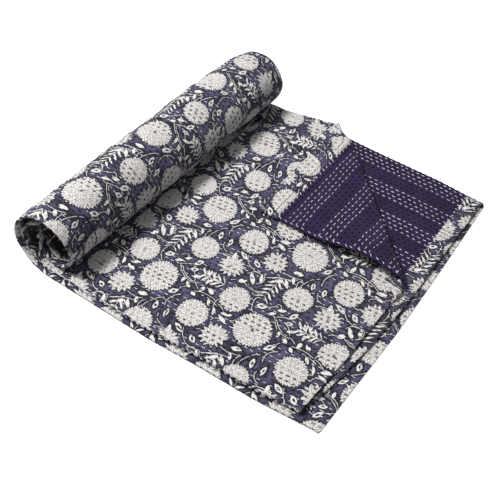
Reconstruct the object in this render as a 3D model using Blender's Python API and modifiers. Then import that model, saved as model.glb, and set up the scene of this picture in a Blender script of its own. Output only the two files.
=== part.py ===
"""A kantha quilt, folded in four along its length and half rolled up.

The quilt is one quilted sheet: a printed front cloth and a plain back cloth, held together
by running stitches. It lies as a back-and-forth fold of four panels. The open end lies flat
on the surface, with the front corner of the top panel turned back on itself, and the other
end is wound up into a loose roll that stands on the flat panels.

Frame, in metres: +X runs along the roll, the flat panels reach from the roll towards -Y, and
the underside of the lowest panel lies on Z = 0. The sizes below are measured from the quilt's
front left corner; the finished mesh is moved so that the origin is under its middle.
"""

import math

import bmesh
import bpy
from mathutils import Vector

COLLECTION = "kantha_quilt"
NODE = "quilt"

# The quilted sheet
SHEET_THICK = 0.0026  # front and back cloth, quilted together
STRIP_THICK = 0.0092  # the four panels where they are wound tightly
STRIP_THICK_LAID = 0.0132  # the four panels where they pass under the roll
RIBS = 10  # raised bands across a panel, between the drawn-in bands of white stitching
RIB_HEIGHT = 0.0012
WAVE_HEIGHT = 0.0013  # the slow unevenness of the panels
# Its waves: (turns of phase per metre across and along, phase, share of the height)
WAVES = ((17.0, 9.0, 0.6, 0.22), (-12.0, 31.0, 2.1, 0.17), (43.0, 23.0, 4.0, 0.11))

# The stack of panels, from the floor up: heights of the middle of each sheet
LAID_STEP = 0.0046  # from panel to panel where they lie loose
PRESSED_STEP = 0.0031  # from panel to panel at the roll
PRESSED_LIFT = 0.0006  # the lowest panel rises this much as it enters the roll
LIFT_OVER = 0.04  # over this distance
PRESS_FROM = 0.30  # the panels begin to close up here
PRESS_TO = 0.42
FOLD_STEPS = 6  # facets round the edge of a fold
PANEL_COLUMNS = 8  # columns of a panel that is covered
TOP_COLUMNS = 20  # columns of the top panel, two to each rib
ROWS = 14
ROW_CROWDING = 1.08  # above 1, the rows are closer together at the open end
MIDDLE_PLACE = 0.2  # a panel's middle across is read at this place along
STACK_WIDTH = 0.5

# How far the panels reach: (distance from the open end, position across)
TOP_LEFT = ((0.00, 0.009), (0.10, -0.002), (0.20, -0.005), (0.30, -0.011), (0.50, -0.012))
TOP_RIGHT = ((0.00, 0.543), (0.25, 0.536), (0.30, 0.522), (0.39, 0.503), (0.50, 0.500))
LOW_LEFT = ((0.00, -0.001), (0.10, -0.011), (0.20, -0.014), (0.28, -0.019), (0.50, -0.020))
FOLD_RIGHT = ((0.00, 0.502), (0.08, 0.507), (0.20, 0.507), (0.30, 0.509), (0.50, 0.507))
UNDER_RIGHT = ((0.00, 0.494), (0.20, 0.500), (0.50, 0.498))
# Where the open end of each panel lies: (share across, position along)
# The end hem of the turned corner is tucked under, so the cloth ends sooner there.
TOP_END = ((0.0, 0.034), (0.2, 0.026), (0.5, 0.022), (0.55, 0.021), (0.60, 0.050), (1.0, 0.048))
MIDDLE_END = ((0.0, 0.033), (0.12, 0.021), (0.3, 0.010), (0.5, 0.004), (1.0, 0.001))
LOWER_END = ((0.0, -0.001), (0.4, -0.007), (0.7, -0.004), (1.0, 0.000))
UNDER_END = ((0.0, 0.001), (0.5, 0.001), (1.0, 0.004))

# The corner of the top panel that is turned back, along a line at 45 degrees
CREASE = 0.237  # position across less position along, on the line
CREASE_RADIUS = 0.0088  # of the soft turn at the open end
CREASE_RADIUS_FAR = 0.0050  # and where it leaves the stack
CREASE_FAR = 0.27  # which is this far along
FLAP_GAP = 0.0070  # from the top panel to the flap, away from the crease
FLAP_SETTLE = 0.055  # how far from the crease the flap comes down
FLAP_WAVE = 0.0012
FLAP_WAVES = (38.0, 21.0)  # its phase per metre, away from the crease and along the panel
FLAP_WAVE_FROM, FLAP_WAVE_TO = 0.01, 0.05
CREASE_STEPS = 6  # facets round the crease
CUT_MERGE = 0.0001  # points nearer than this are one

# The roll: the outside of the strip starts at the floor and winds in
ROLL_NEAR_Y = 0.488  # centre of the roll at the left end
ROLL_FAR_Y = 0.452  # and at the right end
ROLL_RADIUS_NEAR = 0.0620
ROLL_RADIUS_FAR = 0.0602
ROLL_LEAD = 0.0361  # the strip starts this far before the roll's centre
LEAD_OVERLAP = 0.010  # and the laid panels run this far into it
ROLL_TURNS = 2.85
FIRST_PITCH = 0.0140  # how much the outside comes in over the first turn
PITCH = 0.0118  # and over each turn after it
ROLL_SAG = 0.0011  # how much lower each inner turn hangs
ROLL_WOBBLE = 0.0030  # how far the outside is out of round
WOBBLE_WAVES = (11.0, 2.0, 0.8)  # phase per metre across, waves per turn, phase
RIBS_SHOW = (0.1, 0.3, 0.95, 1.3)  # the quilting is raised between these turns
CRUMPLE = 0.0075  # how far the inner turns are pushed in, in soft dents
DENTS, DENT_SLANT, DENT_PHASE = 3.0, 5.0, 1.0  # dents per turn, phase per metre across, phase
DENT_SHARE = 0.26  # how much of the crumpling the dents are, about its half
CRUMPLE_FROM, CRUMPLE_TO = 1.02, 2.1  # turns
SAG_FROM = 0.75  # turns
ROLL_RIM = 0.55  # share of the thickness at the rounded rims
ROLL_EDGE = 0.028  # share of the width over which a rim rounds off
# The ends of the roll: (turns from the floor, left end, right end)
ROLL_ENDS = (
    (-1.0, -0.0250, 0.5145),
    (0.0, -0.0250, 0.5145),
    (0.25, -0.017, 0.515),
    (0.5, -0.008, 0.511),
    (0.75, -0.003, 0.502),
    (1.0, -0.005, 0.505),
    (1.5, 0.017, 0.494),
    (2.0, 0.030, 0.484),
    (2.5, 0.024, 0.488),
    (3.0, 0.037, 0.478),
    (3.5, 0.041, 0.474),
)
ROLL_COLUMNS = 20
# Facets in each turn of the roll: (turn begins, facets to a whole turn)
ROLL_FACETS = ((0.0, 24), (1.0, 18), (2.0, 14))

ENTRY_EXTRA = 0.0022  # the strip is this much thicker as it enters the roll
ENTRY_TURNS = 0.35  # and has lost that after these turns
LEAD_PLACES = (-2.0, -1.4, -0.7)  # lines of points of the lead-in, which runs from the first to 0
LAST_GAP = 0.02  # turns; a line of points nearer than this to the end of the roll is left out

COLOUR = (0.055, 0.057, 0.105, 1.0)
ROUGHNESS = 0.92


def along(table, at):
    """The value at a place in a table of (place, value), with straight runs between."""
    if at <= table[0][0]:
        return table[0][1]
    for (a, va), (b, vb) in zip(table, table[1:]):
        if at <= b:
            return va + (vb - va) * (at - a) / (b - a)
    return table[-1][1]


def soft(a, b, at):
    """0 before a, 1 after b, with a smooth step between."""
    t = min(1.0, max(0.0, (at - a) / (b - a)))
    return t * t * (3.0 - 2.0 * t)


def wave(x, y):
    """Slow rises and falls of the laid cloth, from 0 to 1."""
    return 0.5 + sum(share * math.sin(a * x + b * y + phase) for a, b, phase, share in WAVES)


def rib(share):
    """The quilting across a panel: 1 on the crest of a rib, 0 in a band of stitching."""
    return 0.5 - 0.5 * math.cos(2.0 * math.pi * RIBS * share)


def top_rib(x, y):
    """The height of the quilting on the top panel."""
    left, right = along(TOP_LEFT, y), along(TOP_RIGHT, y)
    return RIB_HEIGHT * rib((x - left) / (right - left))


def panel_height(number, x, y):
    """The middle of a panel, counted from the lowest."""
    pressed = soft(PRESS_FROM, PRESS_TO, y)
    step = LAID_STEP + (PRESSED_STEP - LAID_STEP) * pressed
    lift = PRESSED_LIFT * soft(PRESS_TO - LIFT_OVER / 2.0, PRESS_TO + LIFT_OVER / 2.0, y)
    rise = WAVE_HEIGHT * wave(x, y) * number / 3.0 * (1.0 - pressed)
    return SHEET_THICK / 2.0 + lift + number * step + rise


def turned_back(x, y):
    """A point of the laid top panel, carried round the crease if it lies beyond it."""
    z = panel_height(3, x, y)
    raised = top_rib(x, y)
    beyond = (x - y - CREASE) / math.sqrt(2.0)
    if beyond <= 0.0:
        return Vector((x, y, z + raised))
    foot = Vector((x - beyond / math.sqrt(2.0), y + beyond / math.sqrt(2.0), z))
    radius = CREASE_RADIUS + (CREASE_RADIUS_FAR - CREASE_RADIUS) * soft(0.0, CREASE_FAR, foot.y)
    out = Vector((1.0, -1.0, 0.0)) / math.sqrt(2.0)
    arc = math.pi * radius
    if beyond < arc:
        turn = beyond / radius
        reach = radius - raised
        across = reach * math.sin(turn)
        up = radius - reach * math.cos(turn)
        return foot + out * across + Vector((0.0, 0.0, up))
    back = beyond - arc
    settle = math.exp(-((back / FLAP_SETTLE) ** 1.5))
    height = FLAP_GAP + (2.0 * radius - FLAP_GAP) * settle
    phase = FLAP_WAVES[0] * back + FLAP_WAVES[1] * y
    height += FLAP_WAVE * math.sin(phase) * soft(FLAP_WAVE_FROM, FLAP_WAVE_TO, back)
    return foot - out * back + Vector((0.0, 0.0, height - raised))


def panel_point(number, left, right, end, share, row):
    """A point of a panel: share across from left to right, row from the open end to the roll."""
    first = along(end, share)
    middle = 0.5 * (along(left, MIDDLE_PLACE) + along(right, MIDDLE_PLACE))
    stop = roll_centre(middle + (share - 0.5) * STACK_WIDTH) - ROLL_LEAD + LEAD_OVERLAP
    y = first + (stop - first) * row
    low, high = along(left, y), along(right, y)
    x = low + (high - low) * share
    return x, y, panel_height(number, x, y)


def roll_centre(x):
    """Where the roll's centre lies along the strip."""
    return ROLL_NEAR_Y + (ROLL_FAR_Y - ROLL_NEAR_Y) * min(1.0, max(0.0, x / STACK_WIDTH))


def fold_points(a, b, side):
    """The turn of a fold from one panel's edge to the next one's, bulging to one side."""
    found = []
    centre, half = (a + b) / 2.0, (b - a) / 2.0
    for k in range(1, FOLD_STEPS):
        turn = math.pi * k / FOLD_STEPS
        reach = abs(half.z) * math.sin(turn)
        found.append(centre - half * math.cos(turn) + Vector((side * reach, 0.0, 0.0)))
    return found


def section(row):
    """One line of points across all four panels, from the hidden free edge to the top one."""
    under, lower, middle, top = [], [], [], []
    for k in range(PANEL_COLUMNS + 1):
        share = k / PANEL_COLUMNS
        under.append(Vector(panel_point(0, LOW_LEFT, UNDER_RIGHT, UNDER_END, share, row)))
        lower.append(Vector(panel_point(1, LOW_LEFT, FOLD_RIGHT, LOWER_END, share, row)))
        middle.append(Vector(panel_point(2, TOP_LEFT, FOLD_RIGHT, MIDDLE_END, share, row)))
    for k in range(TOP_COLUMNS + 1):
        share = k / TOP_COLUMNS
        x, y, z = panel_point(3, TOP_LEFT, TOP_RIGHT, TOP_END, share, row)
        top.append(Vector((x, y, z + top_rib(x, y))))
    line = list(reversed(under))
    line += fold_points(under[0], lower[0], -1.0)
    line += lower
    line += fold_points(lower[-1], middle[-1], 1.0)
    line += list(reversed(middle))
    line += fold_points(middle[0], top[0], -1.0)
    line += top
    return line


def surface(lines, marked_from=None):
    """An open surface through lines of points; its faces from one column on may be marked."""
    bm = bmesh.new()
    rows = [[bm.verts.new(p) for p in line] for line in lines]
    for low, high in zip(rows, rows[1:]):
        for k in range(len(low) - 1):
            face = bm.faces.new((low[k], low[k + 1], high[k + 1], high[k]))
            face.material_index = int(marked_from is not None and k >= marked_from)
    return bm


def object_from(name, bm):
    """An object of a surface, its faces turned the same way."""
    bmesh.ops.recalc_face_normals(bm, faces=bm.faces)
    mesh = bpy.data.meshes.new(name)
    bm.to_mesh(mesh)
    bm.free()
    obj = bpy.data.objects.new(name, mesh)
    bpy.context.scene.collection.objects.link(obj)
    return obj


def thicken(obj, thick, group=None):
    """Gives an open surface its thickness, half to each side."""
    solid = obj.modifiers.new("thickness", "SOLIDIFY")
    solid.thickness = thick
    solid.offset = 0.0
    solid.use_even_offset = True
    solid.use_quality_normals = True
    if group:
        solid.vertex_group = group
    apply_all(obj)


def apply_all(obj):
    """Applies every modifier of an object."""
    bpy.context.view_layer.update()
    shown = obj.evaluated_get(bpy.context.evaluated_depsgraph_get())
    mesh = bpy.data.meshes.new_from_object(shown)
    old = obj.data
    obj.modifiers.clear()
    obj.data = mesh
    bpy.data.meshes.remove(old)


def row_places():
    """Rows of the flat panels, closer together at the open end."""
    return [(k / ROWS) ** ROW_CROWDING for k in range(ROWS + 1)]


def winding():
    """Turns at which the roll has a line of points, first the lead-in along the floor."""
    places = list(LEAD_PLACES)
    at = 0.0
    while at < ROLL_TURNS - LAST_GAP:
        places.append(at)
        at += 1.0 / [n for begin, n in ROLL_FACETS if at >= begin - 1e-6][-1]
    places.append(ROLL_TURNS)
    return places


def strip_thick(turns):
    """The wound strip is thickest where it leaves the laid panels."""
    start = STRIP_THICK + ENTRY_EXTRA
    if turns < 0.0:
        return start + (STRIP_THICK_LAID - start) * turns / LEAD_PLACES[0]
    return STRIP_THICK + ENTRY_EXTRA * (1.0 - soft(0.0, ENTRY_TURNS, turns))


def roll_point(turns, share):
    """A point on the middle of the wound strip, and the strip's thickness there."""
    left = along([(t, a) for t, a, b in ROLL_ENDS], turns)
    right = along([(t, b) for t, a, b in ROLL_ENDS], turns)
    x = left + (right - left) * share
    centre = roll_centre(x)
    far = min(1.0, max(0.0, x / STACK_WIDTH))
    radius = ROLL_RADIUS_NEAR + (ROLL_RADIUS_FAR - ROLL_RADIUS_NEAR) * far
    thick = strip_thick(turns)
    if turns < 0.0:
        y = centre - ROLL_LEAD * turns / LEAD_PLACES[0]
        return Vector((x, y, thick / 2.0)), thick
    inwards = FIRST_PITCH * min(turns, 1.0) + PITCH * max(0.0, turns - 1.0)
    angle = 2.0 * math.pi * turns
    off_floor = 0.5 - 0.5 * math.cos(angle)
    slant, waves, phase = WOBBLE_WAVES
    wobble = ROLL_WOBBLE * math.sin(slant * x + waves * angle + phase) * off_floor
    outermost = soft(*RIBS_SHOW[:2], turns) * (1.0 - soft(*RIBS_SHOW[2:], turns))
    raised = RIB_HEIGHT * rib((share - ROLL_EDGE) / (1.0 - 2.0 * ROLL_EDGE)) * outermost
    dent = 0.5 + DENT_SHARE * math.sin(DENTS * angle + DENT_SLANT * x + DENT_PHASE)
    pushed = CRUMPLE * dent * soft(CRUMPLE_FROM, CRUMPLE_TO, turns)
    middle = radius - inwards - thick / 2.0 + wobble + raised - pushed
    sag = ROLL_SAG * max(0.0, turns - SAG_FROM)
    z = radius - sag - middle * math.cos(angle)
    return Vector((x, centre + middle * math.sin(angle), z)), thick


def build_roll():
    """The wound strip: an open spiral, thickened, thinner at its rounded rims."""
    inner = 1.0 - 2.0 * ROLL_EDGE
    shares = [0.0, ROLL_EDGE / 3.0]
    shares += [ROLL_EDGE + inner * k / ROLL_COLUMNS for k in range(ROLL_COLUMNS + 1)]
    shares += [1.0 - ROLL_EDGE / 3.0, 1.0]
    lines, weights = [], []
    for turns in winding():
        line = []
        for share in shares:
            point, thick = roll_point(turns, share)
            line.append(point)
            edge = min(share, 1.0 - share)
            full = ROLL_RIM + (1.0 - ROLL_RIM) * soft(0.0, ROLL_EDGE, edge)
            if turns <= 0.0:
                full = 1.0
            weights.append(full * thick / STRIP_THICK_LAID)
        lines.append(line)
    obj = object_from("wound_strip", surface(lines))
    group = obj.vertex_groups.new(name="thickness")
    for index, weight in enumerate(weights):
        group.add([index], weight, "REPLACE")
    thicken(obj, STRIP_THICK_LAID, "thickness")
    return obj


def bend_places():
    """Distances from the crease at which the turned corner has a line of points."""
    arc = math.pi * (CREASE_RADIUS + CREASE_RADIUS_FAR) / 2.0
    places = [arc * k / CREASE_STEPS for k in range(CREASE_STEPS + 1)]
    return places + [arc + 0.5 * FLAP_SETTLE, arc + FLAP_SETTLE]


def turn_corner(bm):
    """Cuts the marked top panel along lines beside the crease and carries its corner round."""
    across = Vector((1.0, -1.0, 0.0)) / math.sqrt(2.0)
    for place in bend_places():
        faces = [f for f in bm.faces if f.material_index == 1]
        edges = {e for f in faces for e in f.edges}
        verts = {v for f in faces for v in f.verts}
        at = Vector((CREASE, 0.0, 0.0)) + across * place
        bmesh.ops.bisect_plane(
            bm, geom=[*verts, *edges, *faces], dist=CUT_MERGE, plane_co=at, plane_no=across
        )
    top = {v for f in bm.faces if f.material_index == 1 for v in f.verts}
    for v in top:
        if v.co.x - v.co.y > CREASE:
            v.co = turned_back(v.co.x, v.co.y)
    for f in bm.faces:
        f.material_index = 0


def build_panels():
    """The four laid panels with the corner of the top one turned back."""
    lines = [section(row) for row in row_places()]
    bm = surface(lines, len(lines[0]) - 1 - TOP_COLUMNS)
    turn_corner(bm)
    obj = object_from(NODE, bm)
    thicken(obj, SHEET_THICK)
    return obj


def clean(obj):
    """Merges the points that lie on each other after the joining, and splits all into triangles."""
    bm = bmesh.new()
    bm.from_mesh(obj.data)
    bmesh.ops.triangulate(bm, faces=bm.faces)
    bmesh.ops.remove_doubles(bm, verts=bm.verts, dist=CUT_MERGE)
    bmesh.ops.dissolve_degenerate(bm, edges=bm.edges, dist=CUT_MERGE / 10.0)
    bm.to_mesh(obj.data)
    bm.free()


def centre_on_floor(obj):
    """Moves the mesh so that the origin lies under its middle, on the floor."""
    points = [v.co for v in obj.data.vertices]
    low = Vector([min(p[k] for p in points) for k in range(3)])
    high = Vector([max(p[k] for p in points) for k in range(3)])
    shift = Vector((-(low.x + high.x) / 2.0, -(low.y + high.y) / 2.0, -low.z))
    for v in obj.data.vertices:
        v.co += shift


def cloth_material():
    """A matt dark cotton."""
    material = bpy.data.materials.new("quilted_cotton")
    material.use_nodes = True
    shader = material.node_tree.nodes["Principled BSDF"]
    shader.inputs["Base Color"].default_value = COLOUR
    shader.inputs["Roughness"].default_value = ROUGHNESS
    material.diffuse_color = COLOUR
    return material


def main():
    for obj in list(bpy.data.objects):
        bpy.data.objects.remove(obj, do_unlink=True)
    group = bpy.data.collections.new(COLLECTION)
    bpy.context.scene.collection.children.link(group)
    quilt = build_panels()
    roll = build_roll()
    join = quilt.modifiers.new("join_roll", "BOOLEAN")
    join.operation = "UNION"
    join.solver = "EXACT"
    join.object = roll
    apply_all(quilt)
    bpy.data.objects.remove(roll, do_unlink=True)
    clean(quilt)
    centre_on_floor(quilt)
    quilt.data.materials.clear()
    quilt.data.materials.append(cloth_material())
    for face in quilt.data.polygons:
        face.use_smooth = True
    bpy.context.scene.collection.objects.unlink(quilt)
    group.objects.link(quilt)
    return quilt


main()
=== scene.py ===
"""The looks of a kantha quilt that is folded in four and half rolled up.

The quilt is modelled as it is made: one cloth is laid out flat, with its padding, its drawn-in
rows and its turned hem, and every point of it is then carried to its place in the folded and
rolled stack. A place on the flat cloth is (u, v): u runs across the four panels, from the hidden
free edge to the free edge of the top panel, and v runs from the open end to the core of the roll.
"""

import math

import bmesh
import bpy
import numpy as np
from mathutils import Matrix, Vector


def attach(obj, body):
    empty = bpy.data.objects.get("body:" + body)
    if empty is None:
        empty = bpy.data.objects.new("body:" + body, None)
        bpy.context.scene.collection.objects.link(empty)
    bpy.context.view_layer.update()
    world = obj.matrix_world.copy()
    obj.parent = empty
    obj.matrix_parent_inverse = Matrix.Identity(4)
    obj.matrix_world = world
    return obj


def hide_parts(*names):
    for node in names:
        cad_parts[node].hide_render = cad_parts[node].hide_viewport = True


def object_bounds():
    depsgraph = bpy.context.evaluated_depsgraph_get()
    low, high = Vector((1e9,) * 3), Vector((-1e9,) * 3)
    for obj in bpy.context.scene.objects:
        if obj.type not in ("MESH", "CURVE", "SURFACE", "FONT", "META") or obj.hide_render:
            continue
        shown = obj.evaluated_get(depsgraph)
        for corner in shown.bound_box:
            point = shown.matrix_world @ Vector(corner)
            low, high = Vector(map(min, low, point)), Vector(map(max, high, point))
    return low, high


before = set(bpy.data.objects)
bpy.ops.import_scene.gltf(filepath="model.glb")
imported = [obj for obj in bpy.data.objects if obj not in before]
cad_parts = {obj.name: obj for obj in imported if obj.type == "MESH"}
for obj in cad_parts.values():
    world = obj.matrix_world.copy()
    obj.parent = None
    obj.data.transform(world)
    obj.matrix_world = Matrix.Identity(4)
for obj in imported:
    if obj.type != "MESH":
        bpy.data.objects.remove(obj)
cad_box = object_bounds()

CIRCLE = 2.0 * math.pi

# ---------------------------------------------------------------- sizes, in metres

# Where the front left corner of the folded stack lies, from the CAD box
ROLL_REACH_LEFT = 0.0250  # the roll's rim stands this far left of that corner
LOW_END_REACH = 0.0066  # and the lowest panels this far in front of it
CORNER = (cad_box[0][0] + ROLL_REACH_LEFT, cad_box[0][1] + LOW_END_REACH, 0.0)

# The flat cloth
CLOTH_ACROSS = 2.13
STITCH_ROWS = 259  # rows of running stitch across the whole cloth
ROW_PITCH = CLOTH_ACROSS / STITCH_ROWS
PANEL_ROWS = 64  # rows in each panel; one row falls in each fold
PANEL = PANEL_ROWS * ROW_PITCH
FOLD = ROW_PITCH
BAND_ROWS = 7  # rows in a band of stitching
WHITE_ROWS = 4  # of which these are sewn with white thread
WHITE_FROM = 4  # such a set begins at this row, counted from the hidden free edge
STITCH_PITCH = 0.0112
ROW_SHIFT = 0.618  # the stitches of each row begin this share of a pitch further on
STITCH_LONG = 0.0060  # a white stitch on the back
DARK_LONG = 0.0040  # a dark one there, mostly sunk into the cloth
SHORT_STITCH = 0.0062  # and on the print
STITCH_WIDE, STITCH_HIGH = 0.00092, 0.00058
DARK_WIDE, DARK_HIGH = 0.00190, 0.00042  # the dark thread lies wider and flatter
STITCH_LEAN, WHIP_LEAN = 0.07, 0.14  # how unevenly they point, in radians
OFF_ROW, OFF_PITCH, OFF_WHIP = 0.00035, 0.0005, 0.0008  # how far from their even places they fall
STITCH_RANGE, WHIP_RANGE = (0.72, 1.15), (0.8, 1.15)  # shortest and longest, as shares
STITCH_FROM = 0.004  # the first stitch of a row is this far in
BACK_SHOWN = 0.31  # the panel under the flap shows its back as far as this
FLAP_ROWS = 26  # rows of the top panel before those whose back shows on the flap
WHIP_PITCH, WHIP_LONG = 0.0105, 0.0058  # the slanting stitches of the hems
HEM = 0.030  # width of the hem, the front cloth turned over to the back
LONG_HEM = 0.038  # it is wider along the free edge of the top panel
HEM_RISE = 0.0007  # how far it stands off the back

# Thickness and relief
FLOOR_GAP = 0.0001  # under the lowest panel
HALF_LAID = 0.00125  # half the thickness of the quilted cloth where it lies loose
HALF_WOUND = 0.00098  # and in the roll
THINNER = (0.352, 0.502)  # along the cloth, where it goes from the one to the other
EDGE_SHARE = 0.30  # share of that thickness left at the rim
ROW_DEPTH = 0.00060  # how far a row of stitches draws the face in
ROW_UNEVEN = 0.35  # share of that depth which comes and goes
DIMPLE_DEPTH = 0.00022  # how much further each stitch does
NOTCH_DEPTH = 0.0014  # and how much further yet along the folded edges
NOTCH_REACH = 0.007  # within this distance of the edge
FACE_UNEVEN = 0.00022  # how far the whole face rises and falls
RIBS = 10  # raised bands across a panel
RIB_HEIGHT = 0.0012
WAVE_HEIGHT = 0.0013
# Waves of the laid cloth: (how fast across, how fast along, shift, size)
WAVES = ((17.0, 9.0, 0.6, 0.22), (-12.0, 31.0, 2.1, 0.17), (43.0, 23.0, 4.0, 0.11))
FLAT_EDGE = 0.012  # the rows draw the face in less and less this close to an edge
HEM_EDGE = 0.003  # and the hem's own height fades out here
RIM = 0.0026  # width over which the cloth's edge rounds off
RIM_STEPS = (0.0, 0.0004, 0.0012, 0.0026)  # lines of points along the cloth's edges
HEM_STEPS = (-0.0007, 0.0, 0.0009)  # and beside the hem's edge

# The stack of panels, from the floor up, and how it closes up towards the roll.
# A place along the strip is the distance from the open end up to 0.5, then 0.5 + turns of the roll.
ROLL_PLACE = 0.5
STRIP_MIDDLE, STRIP_ACROSS = 0.245, 0.5  # middle and width that the roll's slant is told over
LAYER_STEP = ((0.30, 0.0046), (0.42, 0.0031), (0.50, 0.0030), (0.85, 0.0024), (4.0, 0.0024))
PRESS_FROM, PRESS_TO = 0.30, 0.42

# How far the panels reach across, to the left and to the right: (place, position)
TOP_LEFT = (
    (0.00, 0.009), (0.10, -0.002), (0.20, -0.005), (0.30, -0.011), (0.50, -0.012),
    (0.75, -0.009), (1.00, 0.002), (1.25, 0.007), (1.50, 0.005), (2.00, 0.014), (3.5, 0.030),
)
TOP_RIGHT = (
    (0.00, 0.543), (0.25, 0.533), (0.30, 0.521), (0.39, 0.504), (0.50, 0.499),
    (0.75, 0.506), (1.00, 0.500), (1.50, 0.494), (3.5, 0.486),
)
LOW_LEFT = (
    (0.00, -0.001), (0.10, -0.0102), (0.20, -0.013), (0.28, -0.0178), (0.50, -0.0195),
    (0.75, -0.0140), (1.00, -0.0062), (1.25, -0.003), (1.50, -0.005), (2.00, 0.005), (3.5, 0.020),
)
FOLD_RIGHT = (
    (0.00, 0.498), (0.08, 0.5045), (0.20, 0.5045), (0.30, 0.507), (0.50, 0.507),
    (0.75, 0.511), (1.00, 0.507), (1.25, 0.506), (1.50, 0.504), (3.5, 0.490),
)
UNDER_RIGHT = (
    (0.00, 0.494), (0.20, 0.500), (0.50, 0.500), (1.00, 0.501), (1.25, 0.506),
    (1.50, 0.500), (3.5, 0.486),
)
# Where the open end of each panel lies: (share across from the left, position along)
UNDER_END = ((0.0, 0.001), (0.5, 0.001), (1.0, 0.004))
LOWER_END = ((0.0, -0.0022), (0.4, -0.0086), (0.7, -0.0070), (1.0, -0.0034))
MIDDLE_END = ((0.0, 0.033), (0.12, 0.021), (0.3, 0.010), (0.5, 0.004), (1.0, 0.001))
TOP_END = (
    (0.0, 0.034), (0.2, 0.026), (0.430, 0.0225), (0.482, -0.0137),
    (0.55, -0.0165), (0.70, -0.0175), (1.0, -0.0150),
)
LEFTS = (LOW_LEFT, LOW_LEFT, TOP_LEFT, TOP_LEFT)
RIGHTS = (UNDER_RIGHT, FOLD_RIGHT, FOLD_RIGHT, TOP_RIGHT)
ENDS = (UNDER_END, LOWER_END, MIDDLE_END, TOP_END)

# The corner of the top panel that is turned back, along a line at 45 degrees
CREASE = 0.237
CREASE_RADIUS = 0.0086
CREASE_RADIUS_FAR = 0.0044
CREASE_FAR = 0.27
CREASE_SWING = 0.014  # the far end of the crease swings back to the left by this much
SWING_FROM, SWING_TO = 0.246, 0.272
FLAP_GAP = 0.0082
FLAP_SETTLE = 0.055  # how far from the crease the flap has come down
SETTLE_POWER = 1.8
FLAP_ARCH = 0.055  # and how much further at its tucked edge, which stands up
ARCH_FROM, ARCH_TO = 0.04, 0.15
ARCH_RISE = 0.0105  # how far that edge bulges up
ARCH_BACK = (0.0, 0.03, 0.045, 0.115)  # where it does, back from the crease
FLAP_WAVE, FLAP_WAVES = 0.0012, (38.0, 21.0)  # height; how fast it goes back and along
WAVE_BACK = (0.01, 0.05)  # where the waves begin and are full, back from the crease
CREASE_STEP = 0.0026  # between the lines along which the flap's start is cut, to bend smoothly
TUCK_RADIUS = 0.0016  # the flap's end hem is tucked under with this turn
TUCK_LINE = HEM + math.pi * TUCK_RADIUS  # so that the turn itself shows the plain back
TUCK_FROM, TUCK_TO = 0.430, 0.482  # shares across the top panel between which the tuck widens
TUCK_SHOWN = 0.285  # from this far across the top panel its stitches show

# The roll
ROLL_NEAR_Y, ROLL_FAR_Y = 0.488, 0.452  # its centre at the left and right ends
ROLL_RADIUS_NEAR, ROLL_RADIUS_FAR = 0.0620, 0.0602
LAID_ALONG = 0.452  # length of the strip that lies flat before the lead into the roll
ROLL_LEAD = 0.0361
WOUND_FROM = LAID_ALONG + ROLL_LEAD
FIRST_PITCH, PITCH = 0.0140, 0.0118
TURNS = 2.85
LEAST_RADIUS = 0.004
ROLL_SAG, SAG_FROM = 0.0011, 0.75
ROLL_WOBBLE, WOBBLES = 0.0026, (11.0, 2.0, 0.8)  # height; how fast across, round, and shift
ROLL_SWELL = 0.0044  # the roll's back swells near its far end
SWELL_ACROSS, SWELL_TURNS = (0.27, 0.38, 0.465, 0.51), (0.12, 0.30, 0.44, 0.62)
CRUMPLE = 0.0085  # depth of the loose folds of the inner turns
CRUMPLE_FROM, CRUMPLE_TO = 1.02, 2.1  # in turns
# Folds: (how often in a turn, how fast across, shift, size)
CRUMPLES = ((3.0, 5.0, 1.0, 0.24), (8.0, -9.0, 2.2, 0.16), (17.0, 14.0, 0.0, 0.13))
RECESS = 0.022  # how far their edges draw back from the ends of the roll, on the whole
RECESS_TURNS, RECESS_LEAST, RECESS_JAGGED = (0.95, 1.5), 0.25, 1.5  # where, and how unevenly
INNER_TURNS = (0.9, 1.15)  # where the outer turn becomes an inner one
OUTER_RIBS = (0.1, 0.3, 0.95, 1.3)  # where the outside of the roll has raised bands
JAGS = ((5.0, 1.9, 0.24), (15.0, 0.4, 0.26))  # how often in a turn, shift, size
MOUTH_REACH = 0.14  # the mouth's looseness is felt this far in
MOUTH_SHRINK = 0.006  # the inner turns stand away from the outer one at the mouth
MOUTH_GAP = 0.0150  # the upper two panels hang away from the lower two at the mouth
GAP_AT, GAP_WIDE = 0.48, 0.19  # where they hang most and over how much of the turn

# The mesh
TRIANGLE_ROWS = 33  # rows of the panel under the flap that show beside it
FINE_TURNS = 1.02  # up to here the roll has the finer points of its outside
HEM_PAST = 0.0364  # the rows of points are close as far as this, past the end hem
CROWDED = 0.00045  # lines of points closer than this are thinned out
BACK_AWAY, CLOTH_AWAY = -0.05, 3.0  # while it is cut, its back and the other panels are held off
CUT_PLACES = 0.34  # how far along the top panel the cuts reach
TURNED_END = HEM + 0.02  # this near to an edge the back is laid out as turned-over print

# The print: its repeat, and how it is laid on the panels
REPEAT_ACROSS, REPEAT_ALONG = 0.170, 0.174
ROLL_PRINT_TURNS = 0.649  # at this turn of the roll
ROLL_PRINT_AT = 0.2955  # the print is at this place in its length
TOP_DRAWN = 0.006  # the print is drawn in across the top panel by this much
TOP_DRAWN_AT = (0.10, 0.20)  # between these places
TOP_DRIFT = (0.12, 0.43, 2.0)  # and drifts along it: from where, how fast, to what power
ROLL_DRAWN = (0.09, 0.21, 2.0)  # on the roll it is drawn out across, told in the same way
ROLL_DRIFT = (0.09, 0.160, 1.5)  # and drifts along
UPPER_FOLD, LOWER_FOLD, LOWER_LEFT = 0.008, 0.010, 0.012  # print that is lost in the left folds
UNDER_SHIFT = 0.025  # below the top panel the print lies this far on

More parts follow.
